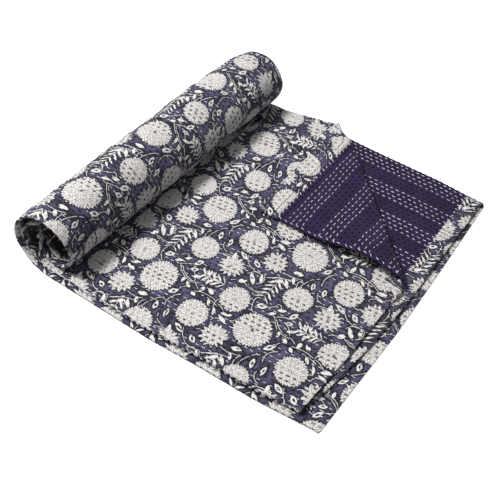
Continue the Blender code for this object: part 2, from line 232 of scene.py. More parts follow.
# The camera of the photograph: place and directions, from the folded stack's front left corner
CAMERA_AT = (-0.48718, -0.22677, 1.02350)
CAMERA_FORWARD = (0.52087622, 0.36713284, -0.77065001)
CAMERA_UP = (0.62741908, 0.44749779, 0.63725272)
CAMERA_LENS, SENSOR = 60.19, 36.0


# ---------------------------------------------------------------- small helpers

def along(table, at):
    """The value at a place in a table of (place, value)."""
    places, values = zip(*table)
    return np.interp(at, places, values)


def soft(a, b, at):
    """0 before a, 1 after b, with a smooth step between."""
    t = np.clip((at - a) / (b - a), 0.0, 1.0)
    return t * t * (3.0 - 2.0 * t)


def hump(a, b, c, d, at):
    """Rises from 0 at a to 1 at b, and falls from c back to 0 at d."""
    return soft(a, b, at) * (1.0 - soft(c, d, at))


def unit(vectors):
    """Rows of vectors, each made one long."""
    return vectors / np.maximum(np.linalg.norm(vectors, axis=-1, keepdims=True), 1e-12)


# ---------------------------------------------------------------- where the cloth lies

# Sections across the cloth: panel, fold, panel, fold, panel, fold, panel
SECTION_STARTS = np.cumsum([0.0, PANEL, FOLD, PANEL, FOLD, PANEL, FOLD, PANEL])


def strip_turns(v):
    """Turns of the roll at a place along the cloth; below 0 where the strip isn't wound yet."""
    return np.interp(v, WOUND_ALONG, WOUND_TURNS)


def coming_in(turns):
    """How much nearer to the middle the strip is than where it began."""
    return FIRST_PITCH * np.clip(turns, 0.0, 1.0) + PITCH * np.maximum(0.0, turns - 1.0)


def wound_length():
    """Tables of the turns of the roll and the length of cloth that they take up."""
    turns = np.linspace(0.0, 4.0, 1601)
    radius = 0.5 * (ROLL_RADIUS_NEAR + ROLL_RADIUS_FAR) - coming_in(turns)
    radius = np.maximum(radius, LEAST_RADIUS)
    length = np.concatenate([[0.0], np.cumsum(np.diff(turns) * math.pi * (radius[1:] + radius[:-1]))])
    return np.concatenate([[LAID_ALONG], WOUND_FROM + length]), np.concatenate([[-1.0], turns])


WOUND_ALONG, WOUND_TURNS = wound_length()


def wound_place(turns):
    """The place along the cloth at so many turns of the roll."""
    return float(np.interp(turns, WOUND_TURNS, WOUND_ALONG))


SECOND_TURN = wound_place(1.0)
WOUND_STOP = wound_place(TURNS)


def roll_centre(x):
    """Where the roll's centre lies along the strip."""
    return ROLL_NEAR_Y + (ROLL_FAR_Y - ROLL_NEAR_Y) * np.clip(x / STRIP_ACROSS, 0.0, 1.0)


def wave(x, y):
    """Slow rises and falls of the laid cloth, from 0 to 1."""
    return 0.5 + sum(size * np.sin(a * x + b * y + shift) for a, b, shift, size in WAVES)


def panel_place(number, share, v):
    """A point of a panel counted from the lowest: share across from the left, v along."""
    turns = strip_turns(v)
    middle = STRIP_MIDDLE + (share - 0.5) * STRIP_ACROSS
    stop = roll_centre(middle) - ROLL_LEAD
    end = along(ENDS[number], share)
    laid = end + (stop - end) * v / LAID_ALONG
    place = np.where(turns > 0.0, ROLL_PLACE + turns, np.minimum(laid, ROLL_PLACE))
    left, right = along(LEFTS[number], place), along(RIGHTS[number], place)
    x = left + (right - left) * share
    far = np.clip(x / STRIP_ACROSS, 0.0, 1.0)
    centre = roll_centre(x)
    y = np.where(v < LAID_ALONG, laid, centre + ROLL_LEAD * np.minimum(turns, 0.0))
    pushed = CRUMPLE * loose_folds(turns, x) * soft(CRUMPLE_FROM, CRUMPLE_TO, turns)
    drawn = RECESS_LEAST + RECESS_JAGGED * jagged(turns, number)
    drawn = RECESS * soft(*RECESS_TURNS, turns) * drawn
    x = x + drawn * (1.0 - 2.0 * share)
    step = along(LAYER_STEP, place)
    rib = 0.5 - 0.5 * np.cos(CIRCLE * RIBS * share)
    pressed = soft(PRESS_FROM, PRESS_TO, y)
    stacked = HALF_LAID + FLOOR_GAP + number * step
    height = stacked + WAVE_HEIGHT * wave(x, y) * number / 3.0 * (1.0 - pressed)
    if number == 3:
        height = height + RIB_HEIGHT * rib * (1.0 - soft(0.0, 0.05, turns))
    laid_point = np.stack([x, y, height], axis=-1)

    angle = CIRCLE * turns
    radius = ROLL_RADIUS_NEAR + (ROLL_RADIUS_FAR - ROLL_RADIUS_NEAR) * far
    off_floor = 0.5 - 0.5 * np.cos(angle)
    wobble = np.sin(WOBBLES[0] * x + WOBBLES[1] * angle + WOBBLES[2])
    wobble = ROLL_WOBBLE * wobble * off_floor
    raised = RIB_HEIGHT * rib * hump(*OUTER_RIBS, turns) * (number == 0)
    top = np.exp(-((np.mod(turns, 1.0) - GAP_AT) / GAP_WIDE) ** 2)
    mouth = 1.0 - soft(0.0, MOUTH_REACH, x)
    inner = soft(*INNER_TURNS, turns)
    hung = MOUTH_GAP * top * mouth * (1.0 if number >= 2 else inner)
    apart = MOUTH_SHRINK * mouth * inner
    reach = radius - coming_in(turns) - stacked + wobble + raised
    swell = ROLL_SWELL * hump(*SWELL_ACROSS, x) * hump(*SWELL_TURNS, turns)
    reach = reach - pushed - hung - apart + swell
    sag = ROLL_SAG * np.maximum(0.0, turns - SAG_FROM)
    wound_y, wound_z = centre + reach * np.sin(angle), radius - sag - reach * np.cos(angle)
    wound_point = np.stack([x, wound_y, wound_z], axis=-1)
    return np.where((turns > 0.0)[..., None], wound_point, laid_point)


def loose_folds(turns, x):
    """The loose folds of the roll's inner turns, from 0 to 1; each turn repeats the last."""
    angle = CIRCLE * turns
    return 0.5 + sum(size * np.sin(a * angle + b * x + shift) for a, b, shift, size in CRUMPLES)


def jagged(turns, number):
    """How unevenly the edges of the inner turns draw back, from 0 to 1."""
    angle = CIRCLE * turns + (0.5 if number >= 2 else 0.0)
    return 0.5 + sum(size * np.sin(times * angle + shift) for times, shift, size in JAGS)


def turned_back(points, v):
    """Points of the laid top panel, carried round the crease where they lie beyond it.

    Near the tucked end, where v is small, the flap stands up further from the panel below.
    """
    x, y, z = points[..., 0], points[..., 1], points[..., 2]
    at_end = 1.0 - soft(ARCH_FROM, ARCH_TO, v)
    swing = CREASE_SWING * soft(SWING_FROM, SWING_TO, (x + y - CREASE) / 2.0)
    beyond = (x - y - CREASE + swing) / math.sqrt(2.0)
    foot_x, foot_y = x - beyond / math.sqrt(2.0), y + beyond / math.sqrt(2.0)
    radius = CREASE_RADIUS + (CREASE_RADIUS_FAR - CREASE_RADIUS) * soft(0.0, CREASE_FAR, foot_y)
    arc = math.pi * radius
    turn = np.clip(beyond / radius, 0.0, math.pi)
    back = np.maximum(beyond - arc, 0.0)
    settle = np.exp(-((back / (FLAP_SETTLE + FLAP_ARCH * at_end)) ** SETTLE_POWER))
    height = FLAP_GAP + (2.0 * radius - FLAP_GAP) * settle
    height = height + ARCH_RISE * hump(*ARCH_BACK, back) * at_end
    waving = np.sin(FLAP_WAVES[0] * back + FLAP_WAVES[1] * y)
    height = height + FLAP_WAVE * waving * soft(*WAVE_BACK, back)
    out = np.where(beyond < arc, radius * np.sin(turn), -back) / math.sqrt(2.0)
    up = np.where(beyond < arc, radius * (1.0 - np.cos(turn)), height)
    laid = z - 0.5 * RIB_HEIGHT * soft(0.0, 0.02, beyond)
    carried = np.stack([foot_x + out, foot_y - out, laid + up], axis=-1)
    return np.where((beyond > 0.0)[..., None], carried, points)


def cloth_middle(u, v):
    """The middle of the cloth at flat places (u, v), before the flap's hem is tucked."""
    u, v = np.broadcast_arrays(np.asarray(u, float), np.asarray(v, float))
    found = np.zeros(u.shape + (3,))
    for section in range(7):
        start, stop = SECTION_STARTS[section], SECTION_STARTS[section + 1]
        here = ((u >= start) | (section == 0)) & ((u < stop) | (section == 6))
        if not here.any():
            continue
        share = (u[here] - start) / (stop - start)
        number = section // 2
        if section % 2 == 0:
            across = share if number % 2 else 1.0 - share
            points = panel_place(number, across, v[here])
            if number == 3:
                points = turned_back(points, v[here])
        else:
            side = 1.0 if number % 2 else -1.0
            edge = np.full_like(share, number % 2)
            low = panel_place(number, edge, v[here])
            high = panel_place(number + 1, edge, v[here])
            middle, half = (low + high) / 2.0, (high - low) / 2.0
            turn = (math.pi * share)[..., None]
            reach = np.linalg.norm(half, axis=-1, keepdims=True) * np.sin(turn)
            points = middle - half * np.cos(turn) + reach * np.array([side, 0.0, 0.0])
        found[here] = points
    return found


def print_side(u, v, middle=cloth_middle, small=0.0002):
    """The direction out of the printed face."""
    across = middle(u + small, v) - middle(u - small, v)
    lengthwise = middle(u, v + small) - middle(u, v - small)
    return unit(np.cross(across, lengthwise))


def tucked_middle(u, v):
    """The middle of the cloth with the end hem of the flap tucked under."""
    u, v = np.broadcast_arrays(np.asarray(u, float), np.asarray(v, float))
    points = cloth_middle(u, v)
    share = (u - SECTION_STARTS[6]) / PANEL
    line = TUCK_LINE * np.clip((share - TUCK_FROM) / (TUCK_TO - TUCK_FROM), 0.0, 1.0)
    hidden = v < line
    if not hidden.any():
        return points
    un, vn, line = u[hidden], v[hidden], line[hidden]
    distance = line - vn
    turn = np.minimum(distance / TUCK_RADIUS, math.pi)
    facing = line + distance - TUCK_RADIUS * turn
    base = cloth_middle(un, facing)
    outwards = unit(base - cloth_middle(un, facing + 0.0004))
    under = print_side(un, facing)
    ahead = TUCK_RADIUS * np.sin(turn)
    below = TUCK_RADIUS * (1.0 - np.cos(turn))
    points = points.copy()
    points[hidden] = base + outwards * ahead[..., None] + under * below[..., None]
    return points


def lift_off(u, v, w):
    """Points of the cloth at a distance w from its middle, towards the printed face."""
    where = tucked_middle(u, v) + print_side(u, v, tucked_middle) * np.asarray(w)[..., None]
    return where + np.array(CORNER)


# ---------------------------------------------------------------- the cloth's own relief

def edge_distance(u, v):
    """Distance from the nearest edge of the flat cloth."""
    return np.minimum(np.minimum(u, CLOTH_ACROSS - u), np.minimum(v, WOUND_STOP - v))


def half_thickness(u, v):
    """Half the thickness of the quilted cloth, rounded off at its edges."""
    wound = soft(*THINNER, v)
    half = HALF_LAID + (HALF_WOUND - HALF_LAID) * wound
    near = np.clip(edge_distance(u, v) / RIM, 0.0, 1.0)
    return half * (EDGE_SHARE + (1.0 - EDGE_SHARE) * np.sqrt(1.0 - (1.0 - near) ** 2))


def uneven(u, v):
    """A steady unevenness of hand work, from -1 to 1."""
    a = np.sin(CIRCLE * (u / 0.031 + 0.35 * np.sin(v / 0.017)))
    b = np.sin(CIRCLE * (v / 0.023 + 0.30 * np.sin(u / 0.013) + 0.4))
    c = np.sin(CIRCLE * (u / 0.058 - v / 0.071))
    return (a * b + 0.6 * c) / 1.6


def stitch_phase(number, front):
    """Where the first stitch of a row falls; it shows on the two faces by turns."""
    return np.modf(number * ROW_SHIFT)[0] + np.where(front, 0.5, 0.0)


def drawn_in(u, v, front):
    """How far the rows of running stitch draw a face in."""
    row = u / ROW_PITCH
    in_row = 0.5 - 0.5 * np.cos(CIRCLE * row)
    phase = stitch_phase(np.floor(row), front)
    in_stitch = 0.5 + 0.5 * np.cos(CIRCLE * (v / STITCH_PITCH + phase))
    depth = ROW_DEPTH * in_row * (1.0 + ROW_UNEVEN * uneven(u, v)) + DIMPLE_DEPTH * in_row * in_stitch
    fold_centres = SECTION_STARTS[[1, 3, 5]] + 0.5 * FOLD
    off_fold = np.min(np.abs(u[..., None] - fold_centres), axis=-1)
    at_fold = np.cos(CIRCLE * v / STITCH_PITCH)
    notch = NOTCH_DEPTH * (1.0 - soft(0.0, NOTCH_REACH, off_fold)) * (0.5 + 0.5 * at_fold) ** 2
    return depth + notch - FACE_UNEVEN * uneven(u * 1.7, v * 1.3)


def hem_relief(u, v):
    """How far the turned hem stands off the back."""
    from_long = (CLOTH_ACROSS - u) * HEM / LONG_HEM
    from_edge = np.minimum(np.minimum(u, from_long), v)
    return HEM_RISE * (1.0 - soft(HEM - 0.0006, HEM + 0.0008, from_edge))


def face_height(u, v, front):
    """How far a face of the cloth lies from its middle."""
    inside = edge_distance(u, v)
    height = half_thickness(u, v) - drawn_in(u, v, front) * soft(0.0, FLAT_EDGE, inside)
    return height if front else height + hem_relief(u, v) * soft(0.0, HEM_EDGE, inside)


# ---------------------------------------------------------------- the mesh

def drift(x, start, rate, power):
    """How far the print has drifted askew at x, beyond where the drift starts."""
    return rate * np.maximum(0.0, x - start) ** power


def top_panel_place(u, v):
    """Where a place on the top panel would lie if no corner of it were turned back."""
    return panel_place(3, np.clip((u - SECTION_STARTS[6]) / PANEL, 0.0, 1.0), v)


def print_place(u, v):
    """Where a place on the cloth falls in the length of printed cotton.

    The upper two panels share one length and the lower two another, which meet in the fold between.
    """
    section = np.clip(np.searchsorted(SECTION_STARTS, u, side="right") - 1, 0, 6)
    share = (u - SECTION_STARTS[section]) / np.diff(SECTION_STARTS)[section]
    top = top_panel_place(u, v)
    top_x = top[..., 0] + TOP_DRAWN * soft(*TOP_DRAWN_AT, top[..., 0])
    top_drift = drift(top[..., 0], *TOP_DRIFT)
    low = panel_place(0, np.clip(1.0 - u / PANEL, 0.0, 1.0), v)
    lower = -LOWER_LEFT - LOWER_FOLD
    by_section = (
        low[..., 0] + drift(low[..., 0], *ROLL_DRAWN),
        -LOWER_LEFT - LOWER_FOLD * share,
        lower - PANEL * share,
        lower - PANEL,
        -UPPER_FOLD - PANEL * (1.0 - share),
        -UPPER_FOLD * (1.0 - share),
        top_x,
    )
    x = np.choose(section, by_section)
    y = np.where(section == 6, top[..., 1] - top_drift, v + UNDER_SHIFT)
    turned = ROLL_PRINT_AT + wound_place(ROLL_PRINT_TURNS) - v - drift(low[..., 0], *ROLL_DRIFT)
    y = np.where(section >= 4, y, turned)
    y = np.where((section == 6) & (v > LAID_ALONG), v - top_drift, y)
    return x, y


class Pattern:
    """The flat cloth as rows of points, each row with its own places across."""

    def __init__(self):
        self.u, self.v, self.front, self.faces, self.kinds = [], [], [], [], []

    def row(self, across, v, front):
        """Adds a row of points and gives their numbers."""
        first = len(self.u)
        self.u.extend(across)
        self.v.extend([v] * len(across))
        self.front.extend([front] * len(across))
        return range(first, first + len(across))

    def join(self, low, high, at, front=True, kind=None):
        """Faces between two runs of points; at gives the place of every point along them."""
        i, j = 0, 0
        pairs = zip(low, high)
        same = len(low) == len(high) and all(abs(at[a] - at[b]) < 1e-9 for a, b in pairs)
        while i < len(low) - 1 or j < len(high) - 1:
            if same:
                corners = [low[i], low[i + 1], high[j + 1], high[j]]
                i, j = i + 1, j + 1
            elif j == len(high) - 1 or (i < len(low) - 1 and at[low[i + 1]] <= at[high[j + 1]]):
                corners = [low[i], low[i + 1], high[j]]
                i += 1
            else:
                corners = [low[i], high[j + 1], high[j]]
                j += 1
            if not front:
                corners.reverse()
            self.faces.append(corners)
            self.kinds.append(kind(corners) if kind else 0)


# Lines of points across the cloth that are always kept: its rims and beside the hems' edges
KEPT_LINES = np.concatenate([
    RIM_STEPS, HEM + np.array(HEM_STEPS), CLOTH_ACROSS - np.array(RIM_STEPS),
    CLOTH_ACROSS - LONG_HEM - np.array(HEM_STEPS),
])


def spread(start, stop, step):
    """Even places from start to stop, about a step apart."""
    count = max(1, round((stop - start) / step))
    return np.linspace(start, stop, count + 1)


def columns(steps, fold_steps):
    """Places across the cloth, with a step or (start, stop, step) pieces for each panel."""
    found = [KEPT_LINES]
    for panel, step in enumerate(steps):
        start = SECTION_STARTS[2 * panel]
        pieces = step if isinstance(step, tuple) else ((0.0, PANEL, step),)
        for low, high, pitch in pieces:
            found.append(start + spread(low, high, pitch))
    for fold in range(3):
        start = SECTION_STARTS[2 * fold + 1]
        found.append(start + np.linspace(0.0, FOLD, fold_steps + 1))
    return thinned(np.concatenate(found))


def thinned(places):
    """Sorted places, without those that crowd another; the rim and hem lines stay."""
    found = []
    for place in np.unique(np.round(places, 6)):
        fixed = np.abs(place - KEPT_LINES).min() < 2e-6
        if found and place - found[-1][0] < CROWDED:
            if fixed and not found[-1][1]:
                found[-1] = (place, True)
            elif not fixed:
                continue
            elif place - found[-1][0] > 1e-5:
                found.append((place, True))
            continue
        found.append((place, fixed))
    return np.array([place for place, fixed in found])


def rows_along(blocks):
    """Rows along the cloth: (place, columns). A block has its columns and (step, stop) pairs."""
    found = []
    start = 0.0
    for across, steps in blocks:
        for step, stop in steps:
            found += [(float(v), across) for v in spread(start, stop, step)[:-1]]
            start = stop
    return found + [(start, across)]


def cloth_pattern():
    """The whole cloth, with more points where it shows."""
    fine, coarse = ROW_PITCH / 2.0, 0.030
    shown = TRIANGLE_ROWS * ROW_PITCH
    flap = PANEL - (TRIANGLE_ROWS + 5) * ROW_PITCH
    panel_back = ((0.0, shown, fine), (shown, PANEL, coarse))
    flap_back = ((0.0, flap, coarse), (flap, PANEL, fine))
    left, right = 0.03, PANEL - 0.03
    loose = ((0.0, left, 0.006), (left, right, 0.07), (right, PANEL, 0.006))
    hidden = ((0.0, left, 0.010), (left, right, 0.06), (right, PANEL, 0.010))
    top_fine = columns((coarse, coarse, coarse, fine), 8)
    roll_fine = columns((fine, coarse, coarse, coarse), 8)
    back_laid = columns((coarse, coarse, panel_back, flap_back), 8)
    inner, inside = columns((loose,) * 4, 6), columns((hidden,) * 4, 6)
    rim = [(stop - start, stop) for start, stop in zip(RIM_STEPS, RIM_STEPS[1:])]
    first_turn = wound_place(FINE_TURNS)
    core, last = WOUND_STOP - 0.0012, (0.0006, WOUND_STOP)
    front_blocks = (
        (top_fine, rim + [(0.0037, HEM), (0.0013, HEM_PAST), (0.0043, LAID_ALONG)]),
        (roll_fine, [(0.006, WOUND_FROM), (0.0042, first_turn)]),
        (inner, [(0.0036, core), last]),
    )
    beside_hem = [(0.0007, HEM), (0.0009, HEM + HEM_STEPS[2]), (0.0014, HEM_PAST)]
    back_blocks = (
        (back_laid, rim + [(0.004, HEM + HEM_STEPS[0])] + beside_hem + [(0.0031, 0.30)]),
        (inside, [(0.014, LAID_ALONG), (0.009, WOUND_FROM), (0.009, first_turn)]),
        (inside, [(0.0056, core), last]),
    )
    pattern = Pattern()

    def back_kind(corners):
        """1 for the plain back, 0 for the print that is turned over it as a hem."""
        u = sum(pattern.u[c] for c in corners) / len(corners)
        v = sum(pattern.v[c] for c in corners) / len(corners)
        return 0 if min(u, v) < HEM or CLOTH_ACROSS - u < LONG_HEM else 1

    faces = []
    for front, blocks, kind in ((True, front_blocks, None), (False, back_blocks, back_kind)):
        rows = [pattern.row(across, v, front) for v, across in rows_along(blocks)]
        for low, high in zip(rows, rows[1:]):
            pattern.join(low, high, pattern.u, front, kind)
        faces.append(rows)
    front_rows, back_rows = faces
    front_left, front_right = zip(*((row[0], row[-1]) for row in front_rows))
    back_left, back_right = zip(*((row[0], row[-1]) for row in back_rows))
    pattern.join(back_rows[0], front_rows[0], pattern.u)
    pattern.join(front_rows[-1], back_rows[-1], pattern.u)
    pattern.join(front_left, back_left, pattern.v)
    pattern.join(back_right, front_right, pattern.v)
    return pattern


def cut_beside_crease(bm, keep):
    """Cuts the laid top panel along lines beside the crease, so that it bends smoothly."""
    across = Vector((1.0, -1.0, 0.0)) / math.sqrt(2.0)
    reach = math.pi * CREASE_RADIUS + 0.003
    for place in spread(0.0, reach, CREASE_STEP):
        near = []
        for v in bm.verts:
            off = (v.co.x - v.co.y - CREASE) / math.sqrt(2.0) - place
            if v[keep] and abs(off) < 0.02:
                near.append(v)
        faces = {f for v in near for f in v.link_faces if all(c[keep] for c in f.verts)}
        edges = {e for f in faces for e in f.edges}
        corners = {v for f in faces for v in f.verts}
        at = Vector((CREASE, 0.0, 0.0)) + across * float(place)
        geometry = [*corners, *edges, *faces]
        bmesh.ops.bisect_plane(bm, geom=geometry, dist=0.0002, plane_co=at, plane_no=across)


def turned_over(u, v, x, y):
    """The print's place on the back, where the hems turn the front cloth over."""
    from_left, from_right = u < TURNED_END, u > CLOTH_ACROSS - LONG_HEM - 0.01
    right_edge = print_place(np.full_like(v, CLOTH_ACROSS), v)[0]
    left_edge = print_place(np.zeros_like(v), v)[0]
    open_end = print_place(u, np.zeros_like(u))[1]
    turned_x = np.where(from_right, 2.0 * right_edge - x, x)
    turned_x = np.where(from_left, 2.0 * left_edge - x, turned_x)
    at_end = (v < TURNED_END) & ~from_left & ~from_right
    return turned_x, np.where(at_end, 2.0 * open_end - y, y)


def build_cloth():
    """The quilted cloth as one closed mesh, folded and rolled."""
    pattern = cloth_pattern()
    u, v, front = (np.array(values) for values in (pattern.u, pattern.v, pattern.front))
    on_top = (u > SECTION_STARTS[6]) & (v < CUT_PLACES)
    laid = top_panel_place(u, v)
    bm = bmesh.new()
    layers = [bm.verts.layers.float.new(name) for name in ("cloth_u", "cloth_v", "front")]
    keep = bm.verts.layers.int.new("on_top")
    verts = []
    for k, values in enumerate(zip(u, v, front)):
        x, y = laid[k, :2] if on_top[k] else (CLOTH_AWAY + u[k], v[k])
        vert = bm.verts.new((x, y, 0.0 if front[k] else BACK_AWAY))
        for layer, value in zip(layers, values):
            vert[layer] = float(value)
        vert[keep] = int(on_top[k])
        verts.append(vert)
    for corners, kind in zip(pattern.faces, pattern.kinds):
        face = bm.faces.new([verts[c] for c in corners])
        face.material_index = kind
        face.smooth = True
    cut_beside_crease(bm, keep)
    bmesh.ops.triangulate(bm, faces=[f for f in bm.faces if len(f.verts) > 4])
    u, v, front = (np.array([vert[layer] for vert in bm.verts]) for layer in layers)
    front = front > 0.5
    height = np.where(front, face_height(u, v, True), -face_height(u, v, False))
    for vert, place in zip(bm.verts, lift_off(u, v, height)):
        vert.co = place
    for layer in layers:
        bm.verts.layers.float.remove(layer)
    bm.verts.layers.int.remove(keep)
    mesh = bpy.data.meshes.new("quilt_cloth")
    bm.to_mesh(mesh)
    bm.free()
    printed = print_place(u, v)
    printed = np.where(front, printed, turned_over(u, v, *printed))
    corner = np.zeros(len(mesh.loops), dtype=np.int32)
    mesh.loops.foreach_get("vertex_index", corner)
    for name, places in (("print", printed), ("cloth", np.array([u, v]))):
        layer = mesh.uv_layers.new(name=name)
        layer.data.foreach_set("uv", places.T[corner].astype(np.float32).ravel())
    return in_scene("quilt_cloth", mesh)


def in_scene(name, data):
    """A new object in the scene."""
    obj = bpy.data.objects.new(name, data)
    bpy.context.scene.collection.objects.link(obj)
    return obj


# ---------------------------------------------------------------- the threads

THREAD_ACROSS = ((-1.0, -0.35), (-0.45, 0.85), (0.45, 0.85), (1.0, -0.35))  # (aside, height)
THREAD_ALONG = ((-1.0, -0.3), (-0.72, 0.75), (0.0, 1.0), (0.72, 0.75), (1.0, -0.3))


def build_threads(name, threads, wide, high):
    """Short threads that lie on the cloth, each with its ends sunk into it, as one mesh.

    Each row of threads is u, v, the direction du, dv, half the length, and 1 for the print side.
    """
    u0, v0, du, dv, half, front = (column[:, None, None] for column in threads.T)
    aside, lift = np.array(THREAD_ACROSS).T
    ahead, fall = np.array(THREAD_ALONG).T
    aside, lift = aside[None, None, :] * wide / 2.0, lift[None, None, :]
    ahead, fall = ahead[None, :, None] * half, fall[None, :, None]
    u = np.clip(u0 + du * ahead - dv * aside, 0.0, CLOTH_ACROSS)
    v = np.clip(v0 + dv * ahead + du * aside, 0.0, WOUND_STOP)
    axis_u, axis_v = u0 + du * ahead + 0.0 * aside, v0 + dv * ahead + 0.0 * aside
    on_print = front + 0.0 * u > 0.5
    base = np.where(on_print, face_height(axis_u, axis_v, True), face_height(axis_u, axis_v, False))
    height = base + high * np.minimum(fall, lift)
    points = lift_off(u, v, np.where(on_print, height, -height)).reshape(-1, 3)
    count, stations, across = len(threads), len(THREAD_ALONG), len(THREAD_ACROSS)
    first = (np.arange(count) * stations * across)[:, None, None]
    i = np.arange(stations - 1)[None, :, None]
    j = np.arange(across - 1)[None, None, :]
    a = first + i * across + j
    faces = np.stack([a, a + across, a + across + 1, a + 1], axis=-1)
    turned = (threads[:, 5] < 0.5)[:, None, None, None]
    faces = np.where(turned, faces[..., ::-1], faces).reshape(-1, 4)
    mesh = bpy.data.meshes.new(name)
    mesh.from_pydata(points.tolist(), [], faces.tolist())
    mesh.polygons.foreach_set("use_smooth", [True] * len(mesh.polygons))
    return in_scene(name, mesh)


def stitch_regions():
    """Where the running stitches show: (first row, last row, from v, to v, print side)."""
    panel = [round(start / ROW_PITCH) for start in SECTION_STARTS]
    last_row = STITCH_ROWS - 1
    return (
        (panel[6], last_row, STITCH_FROM, LAID_ALONG + 0.03, True),
        (0, panel[1] + 2, LAID_ALONG - 0.01, SECOND_TURN, True),
        (panel[1] - 3, panel[2] + 3, STITCH_FROM, LAID_ALONG, True),
        (panel[2], panel[3] - 1, STITCH_FROM, 0.04, True),
        (panel[5] - 3, panel[6] - 1, STITCH_FROM, SECOND_TURN, True),
        (panel[3] - 3, panel[4] + TRIANGLE_ROWS + 5, STITCH_FROM, BACK_SHOWN, False),
        (panel[6] + FLAP_ROWS, last_row, TUCK_LINE + 0.003, 0.30, False),
    )


def running_stitches(white):
    """The stitches of the white rows, or of the dark ones."""
    chance = np.random.default_rng(7 if white else 8)
    found = []
    for first, last, start, stop, front in stitch_regions():
        for number in range(first, last + 1):
            if ((number - WHITE_FROM) % BAND_ROWS < WHITE_ROWS) != white:
                continue
            phase = float(stitch_phase(number, front))
            stitches = np.arange(int(start / STITCH_PITCH), int(stop / STITCH_PITCH) + 2)
            v = (stitches - phase) * STITCH_PITCH
            v = v[(v > start) & (v < stop)]
            count = len(v)
            u = (number + 0.5) * ROW_PITCH + chance.normal(0.0, OFF_ROW, count)
            lean = chance.normal(0.0, STITCH_LEAN, count)
            on_back = STITCH_LONG if white else DARK_LONG
            half = 0.5 * (SHORT_STITCH if front else on_back) * chance.uniform(*STITCH_RANGE, count)
            side = np.full(count, float(front))
            v = v + chance.normal(0.0, OFF_PITCH, count)
            found.append(np.stack([u, v, np.sin(lean), np.cos(lean), half, side], axis=-1))
    return np.concatenate(found)


def hem_stitches():
    """The slanting stitches that hold the hems down on the back."""
    chance = np.random.default_rng(9)
    found = []
    # Each line: from, to, its distance from the edge, slant, whether it follows the long edge
    lines = (
        (SECTION_STARTS[4] - 0.004, SECTION_STARTS[4] + BACK_SHOWN, HEM + 0.0004, 0.62, False),
        (SECTION_STARTS[6] + TUCK_SHOWN, CLOTH_ACROSS - 0.004, TUCK_LINE + 0.0012, 1.15, False),
        (0.04, BACK_SHOWN, LONG_HEM + 0.0004, 0.62, True),
    )
    for start, stop, line, slant, long_edge in lines:
        at = np.arange(start, stop, WHIP_PITCH)
        count = len(at)
        at = at + chance.normal(0.0, OFF_WHIP, count)
        lean = chance.normal(slant, WHIP_LEAN, count)
        half = WHIP_LONG / 2.0 * chance.uniform(*WHIP_RANGE, count)
        side = np.zeros(count)
        sewn = [at, np.full(count, line), np.sin(lean), np.cos(lean), half, side]
        if long_edge:
            sewn[:4] = [CLOTH_ACROSS - sewn[1], at, sewn[3], sewn[2]]
        found.append(np.stack(sewn, axis=-1))
    return np.concatenate(found)


# ---------------------------------------------------------------- the print, charted in one repeat
# All in centimetres on the flat cotton. Angles are in degrees, from the direction across.

# Flowers: (across, along, radius, petals, how deep the petals are cut)
BLOOMS = (
    (7.3, 16.3, 3.02, 37, 0.11), (16.0, 13.8, 2.45, 31, 0.12), (10.3, 21.6, 2.45, 30, 0.13),
    (4.6, 25.3, 2.5, 31, 0.12), (15.4, 25.6, 2.3, 15, 0.34), (3.2, 20.3, 2.15, 14, 0.30),
)
# Leaves and buds: (across, along, angle, length, width, eye of the bud)
LEAVES = (
    (11.6, 17.6, -60, 1.7, 0.95, 1), (12.8, 12.7, -28, 1.8, 0.85, 1), (1.1, 22.5, 55, 1.6, 0.85, 1),
    (2.4, 28.4, 8, 1.7, 0.70, 1), (6.2, 12.6, -40, 1.8, 0.80, 1), (2.6, 13.1, 12, 1.8, 0.75, 1),
    (3.3, 16.2, -75, 1.7, 0.80, 0), (1.4, 25.2, 68, 2.0, 0.75, 1), (0.5, 26.4, 12, 1.4, 0.60, 0),
    (0.5, 16.8, 38, 1.8, 0.60, 0), (1.7, 16.2, 22, 1.4, 0.60, 0), (0.3, 18.1, -55, 1.5, 0.60, 0),
    (8.8, 12.8, 8, 1.3, 0.50, 0), (11.3, 12.6, -65, 1.4, 0.65, 1), (10.3, 11.6, -60, 1.3, 0.60, 0),
    (12.6, 14.7, -60, 1.4, 0.60, 0), (11.4, 15.6, -55, 1.3, 0.55, 0),
    (7.3, 21.0, -72, 1.8, 0.65, 0), (6.2, 21.0, 72, 1.8, 0.60, 0), (6.6, 22.8, 20, 1.4, 0.50, 0),
    (7.5, 27.3, 60, 1.1, 0.65, 0), (8.9, 26.7, -8, 1.4, 0.60, 0), (9.3, 25.4, 60, 1.5, 0.70, 0),
    (7.4, 24.4, 45, 1.3, 0.55, 0), (13.9, 22.6, -42, 1.5, 0.85, 0), (15.2, 21.7, 38, 2.6, 0.80, 0),
    (16.1, 20.5, 18, 2.0, 0.60, 0), (8.4, 29.0, 50, 1.4, 0.60, 0),
)
